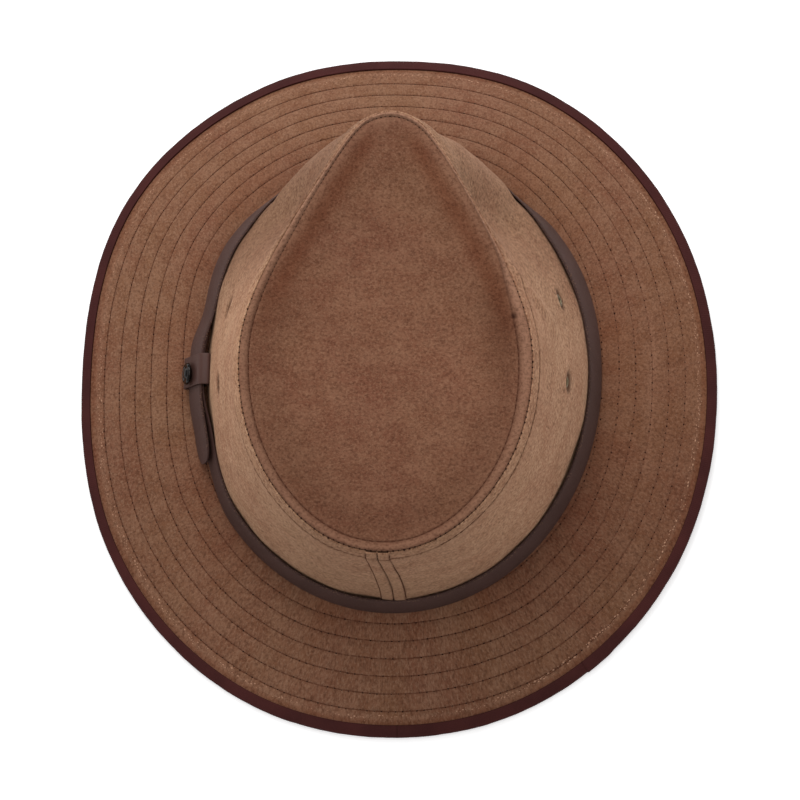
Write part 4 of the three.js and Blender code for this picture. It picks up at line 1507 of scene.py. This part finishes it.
dress(make_fibres(), "strap_leather")

# %% [markdown]
# The keeper is a short strip of the same leather, bent round the strap and its tail and closed by a stud.
# It is a rounded rectangle seen from its end, carried along with a flat section, so its corners are soft
# and its edges cut square. It stands in a slanted set of directions: level out of the hat, up the strap's
# face, and along the strap.


# %% Make the keeper
def strap_point(progress, height, depth):
    """One point of the strap in the crown."""
    return band_point(*np.array([[progress], [height], [depth]], float))[0]


def keeper_place():
    """Middle, height and directions of the keeper, from the strap and its tail at the keeper's angle."""
    tail = keeper_angle - TURN
    middle = (strap_point(keeper_angle, 0.5, 0) + strap_point(tail, 0.5, band_thickness)) / 2
    up = strap_point(tail, 1, 0) - strap_point(tail, 0, 0)
    height = float(np.linalg.norm(up))
    up = up / height
    level = foot_outward(np.array([keeper_angle]))[0]
    along = unit(np.cross(level, up))
    return middle, height, level, up, along, np.cross(up, along)


keeper_middle, keeper_height, keeper_level, keeper_up, keeper_along, keeper_out = keeper_place()
keeper_inside = 2 * band_thickness + clearance + 2 * keeper_slack
KEEPER_SECTION = {
    "along": [-1, -1, -0.985, -0.95, -0.5, 0, 0.5, 0.95, 0.985, 1, 1, 0.97, 0.5, 0, -0.5, -0.97],
    "depth": [0.15, 0.8, 0.95, 1, 1.04, 1.06, 1.04, 1, 0.95, 0.8, 0.15, 0, 0, 0, 0, 0],
}


def make_keeper():
    """A rounded rectangle whose corners turn about four centres, thickened outwards, and swept by a flat
    section."""
    corner = 0.0011
    half_x, half_y = keeper_inside / 2 - corner, (keeper_height + 2 * keeper_slack) / 2 - corner
    quarter = np.linspace(0, 90, 9)
    turn = np.radians(np.concatenate([quarter + start for start in (-90, 0, 90, 180)]))
    signs_x, signs_y = np.repeat([1, 1, -1, -1], 9), np.repeat([-1, 1, 1, -1], 9)
    half = keeper_length / 2
    section_along = np.array(KEEPER_SECTION["along"]) * half
    section_depth = np.array(KEEPER_SECTION["depth"])
    reach = corner + keeper_thickness * section_depth[None, :]
    x = (signs_x * half_x)[:, None] + reach * np.cos(turn)[:, None]
    y = (signs_y * half_y)[:, None] + reach * np.sin(turn)[:, None]
    x = x - keeper_lean * (x > 0) * ease(y, -half_y, half_y)
    at = keeper_middle + keeper_level * x[..., None] + keeper_up * y[..., None]
    at = at + keeper_along * section_along[None, :, None]
    faces = ring_faces(*x.shape).reshape(-1, 4)
    dark = np.tile(np.where(section_depth < 0.9, 0.6, 0.0), len(x))
    marks = {"dark": dark, "pale": 0.0}
    return put_mesh("keeper_loop", crown_to_hat(at.reshape(-1, 3)), faces, marks, smooth_strap)


dress(make_keeper(), "strap_leather", "band_keeper")


# %% [markdown]
# The stud and the eyelets are turned parts: a profile spun about an axis. A spun surface is closed when
# its profile starts and ends on the axis, as the stud's does, or runs back to its own start, as an
# eyelet's does.


# %% Turn the metal parts
def turned_part(name, radius, height, place, material, sides=48, closed=False):
    """A profile of radii and heights spun about the outward axis of a place: radius times cosine and sine
    along the two side directions, and height along the axis."""
    middle, side, out, other = place
    a = np.arange(sides) * 2 * np.pi / sides
    radius, height = np.array(radius), np.array(height)
    ring = side * np.cos(a)[:, None, None] + other * np.sin(a)[:, None, None]
    at = middle + ring * radius[None, :, None] + out * height[None, :, None]
    faces = ring_faces(sides, len(radius))
    if not closed:
        faces = faces[:, :-1]
    points, plain = crown_to_hat(at.reshape(-1, 3)), {"dark": 0.0, "pale": 0.0}
    return put_mesh(name, points, faces.reshape(-1, 4), plain, material)


stud_head = 0.005
stud_neck = 0.00275
stud_neck_height = 0.0008
stud_height = 0.0022
bend = np.linspace(0, np.pi / 2, 9)
lip_x, lip_y = 0.0042 + 0.0008 * np.cos(bend), stud_neck_height + 0.0007 + 0.0009 * np.sin(bend)
stud_radius = [0, stud_neck, stud_neck, 0.0046, stud_head, *lip_x]
stud_radius += [0.0036, 0.0032, 0.0027, 0.0022, 0.0014, 0.0006, 0]
stud_rise = [0, 0, stud_neck_height, stud_neck_height, stud_neck_height + 0.0003, *lip_y]
stud_dome = (0.0014, 0.001, 0.0012, 0.0018, 0.0021, stud_height, stud_height)
stud_rise += [stud_neck_height + extra for extra in stud_dome]
stud_foot = keeper_middle + keeper_level * (keeper_inside / 2 + keeper_thickness - keeper_lean / 2)
stud_foot = stud_foot + keeper_out * clearance - keeper_along * stud_back
stud_place = (stud_foot, keeper_up, keeper_out, keeper_along)
dress(turned_part("stud_cap", stud_radius, stud_rise, stud_place, stud_enamel), "stud_metal", "keeper_stud")

EYELET_RING = {
    "radius": [0.0016, 0.0017, 0.002, 0.0024, 0.0028, 0.0029]
    + [0.0027, 0.0021, 0.0021, 0.0027, 0.0026, 0.0016],
    "rise": [0.0001, 0.00035, 0.0005, 0.0005, 0.0003, 0.00015]
    + [0.0001, 0.0001, -0.0021, -0.0021, -0.0026, -0.0026],
}
for name, eye_angle, eye_height in zip(*EYELETS.values()):
    eye_at, eye_round, eye_out = eyelet_frame(eye_angle, eye_height)
    sunk = eye_at - eye_out * (0.0015 if name == "eyelet_left_front" else 0.001)
    ring_place = (sunk, eye_round, eye_out, np.cross(eye_out, eye_round))
    ring = turned_part(name + "_ring", *EYELET_RING.values(), ring_place, dulled_brass, 32, True)
    dress(ring, "eyelet_metal", name)

# %% [markdown]
# The hat stands on a plain pale floor in soft studio light, with most of it from above the front. The
# camera looks down from high above, a little from behind, with a long lens, as the photographer's did.
# The floor glows a little, so a piece of it that doesn't lies under the hat, and the eyelets look into
# the dark.

# %% Set the floor, the light and the camera
def paper(name, glow):
    """White paper that glows a little, as a lit backdrop does."""
    f = Finish(name)
    f.set(Base_Color=linear(240, 240, 240), Roughness=0.9, Specular_IOR_Level=0.1)
    f.set(Emission_Color=(1, 1, 1, 1), Emission_Strength=glow)
    return f.material


def lay_flat(name, corners, height, material):
    """A flat piece of the stage through its corners, at a height."""
    mesh = bpy.data.meshes.new(name)
    mesh.from_pydata([(x, y, 0) for x, y in corners], [], [range(len(corners))])
    mesh.materials.append(material)
    sheet = bpy.data.objects.new(name, mesh)
    sheet.location.z = height
    bpy.context.scene.collection.objects.link(sheet)


floor_half = 3.0
floor_corners = [(x * floor_half, y * floor_half) for x, y in ((-1, -1), (1, -1), (1, 1), (-1, 1))]
lay_flat("floor", floor_corners, -0.0002, paper("pale_paper", 0.45))
under_hat = brim_top(np.arange(360, 0, -7.5), np.full(48, 0.88))
lay_flat("floor_under_hat", under_hat[:, :2], -0.0001, paper("shaded_paper", 0.0))

world = bpy.data.worlds.new("studio")
world.use_nodes = True
world.node_tree.nodes["Background"].inputs["Color"].default_value = (1, 1, 1, 1)
world.node_tree.nodes["Background"].inputs["Strength"].default_value = 0.4
bpy.context.scene.world = world


def soft_light(name, place, target, width, power):
    """A square area light at a place, turned towards a target."""
    data = bpy.data.lights.new(name, "AREA")
    data.size = width
    data.energy = power
    lamp = bpy.data.objects.new(name, data)
    lamp.location = place
    lamp.rotation_mode = "QUATERNION"
    lamp.rotation_quaternion = Vector(np.array(place) - np.array(target)).to_track_quat("Z", "Y")
    bpy.context.scene.collection.objects.link(lamp)


soft_light("front_key", (0.3, -1.25, 1.45), (0, 0, 0.05), 1.0, 21)
soft_light("overhead", (0.1, 0, 2.2), (0, 0, 0), 1.4, 15)

camera_tilt = 11.5
camera_side = 2.0
camera_yaw = 1.8
camera_distance = 1.2
pixel_at_aim = 0.0004526
aim_pixel = np.array([394.4, 375.7])
picture = 800


def place_camera():
    """A camera above the crown's foot, tilted back and to the side, and turned by the yaw; it looks along
    the ray of the picture's middle."""
    n = unit(np.array([-np.tan(np.radians(camera_side)), np.tan(np.radians(camera_tilt)), 1.0]))
    aim = np.array([0, 0, crown_foot_rise]) + hat_shift
    place = aim + camera_distance * n
    up = unit(np.array([0, -1.0, 0]) - n * -n[1])
    right = np.cross(-n, up)
    y = np.radians(camera_yaw)
    up, right = up * np.cos(y) - right * np.sin(y), right * np.cos(y) + up * np.sin(y)
    data = bpy.data.cameras.new("camera")
    data.sensor_width = 36
    focal = camera_distance / pixel_at_aim
    data.lens = focal / picture * data.sensor_width
    data.shift_x = (picture / 2 - aim_pixel[0]) / picture
    data.shift_y = (aim_pixel[1] - picture / 2) / picture
    data.clip_start, data.clip_end = 0.01, 20
    camera = bpy.data.objects.new("camera", data)
    rows = np.stack([right, up, n], 1)
    camera.matrix_world = Matrix([[*rows[i], place[i]] for i in range(3)] + [[0, 0, 0, 1]])
    bpy.context.scene.collection.objects.link(camera)
    bpy.context.scene.camera = camera
    print("camera at", np.round(place, 4), "lens", round(data.lens, 2))


place_camera()
bpy.context.scene.view_settings.view_transform = "Standard"
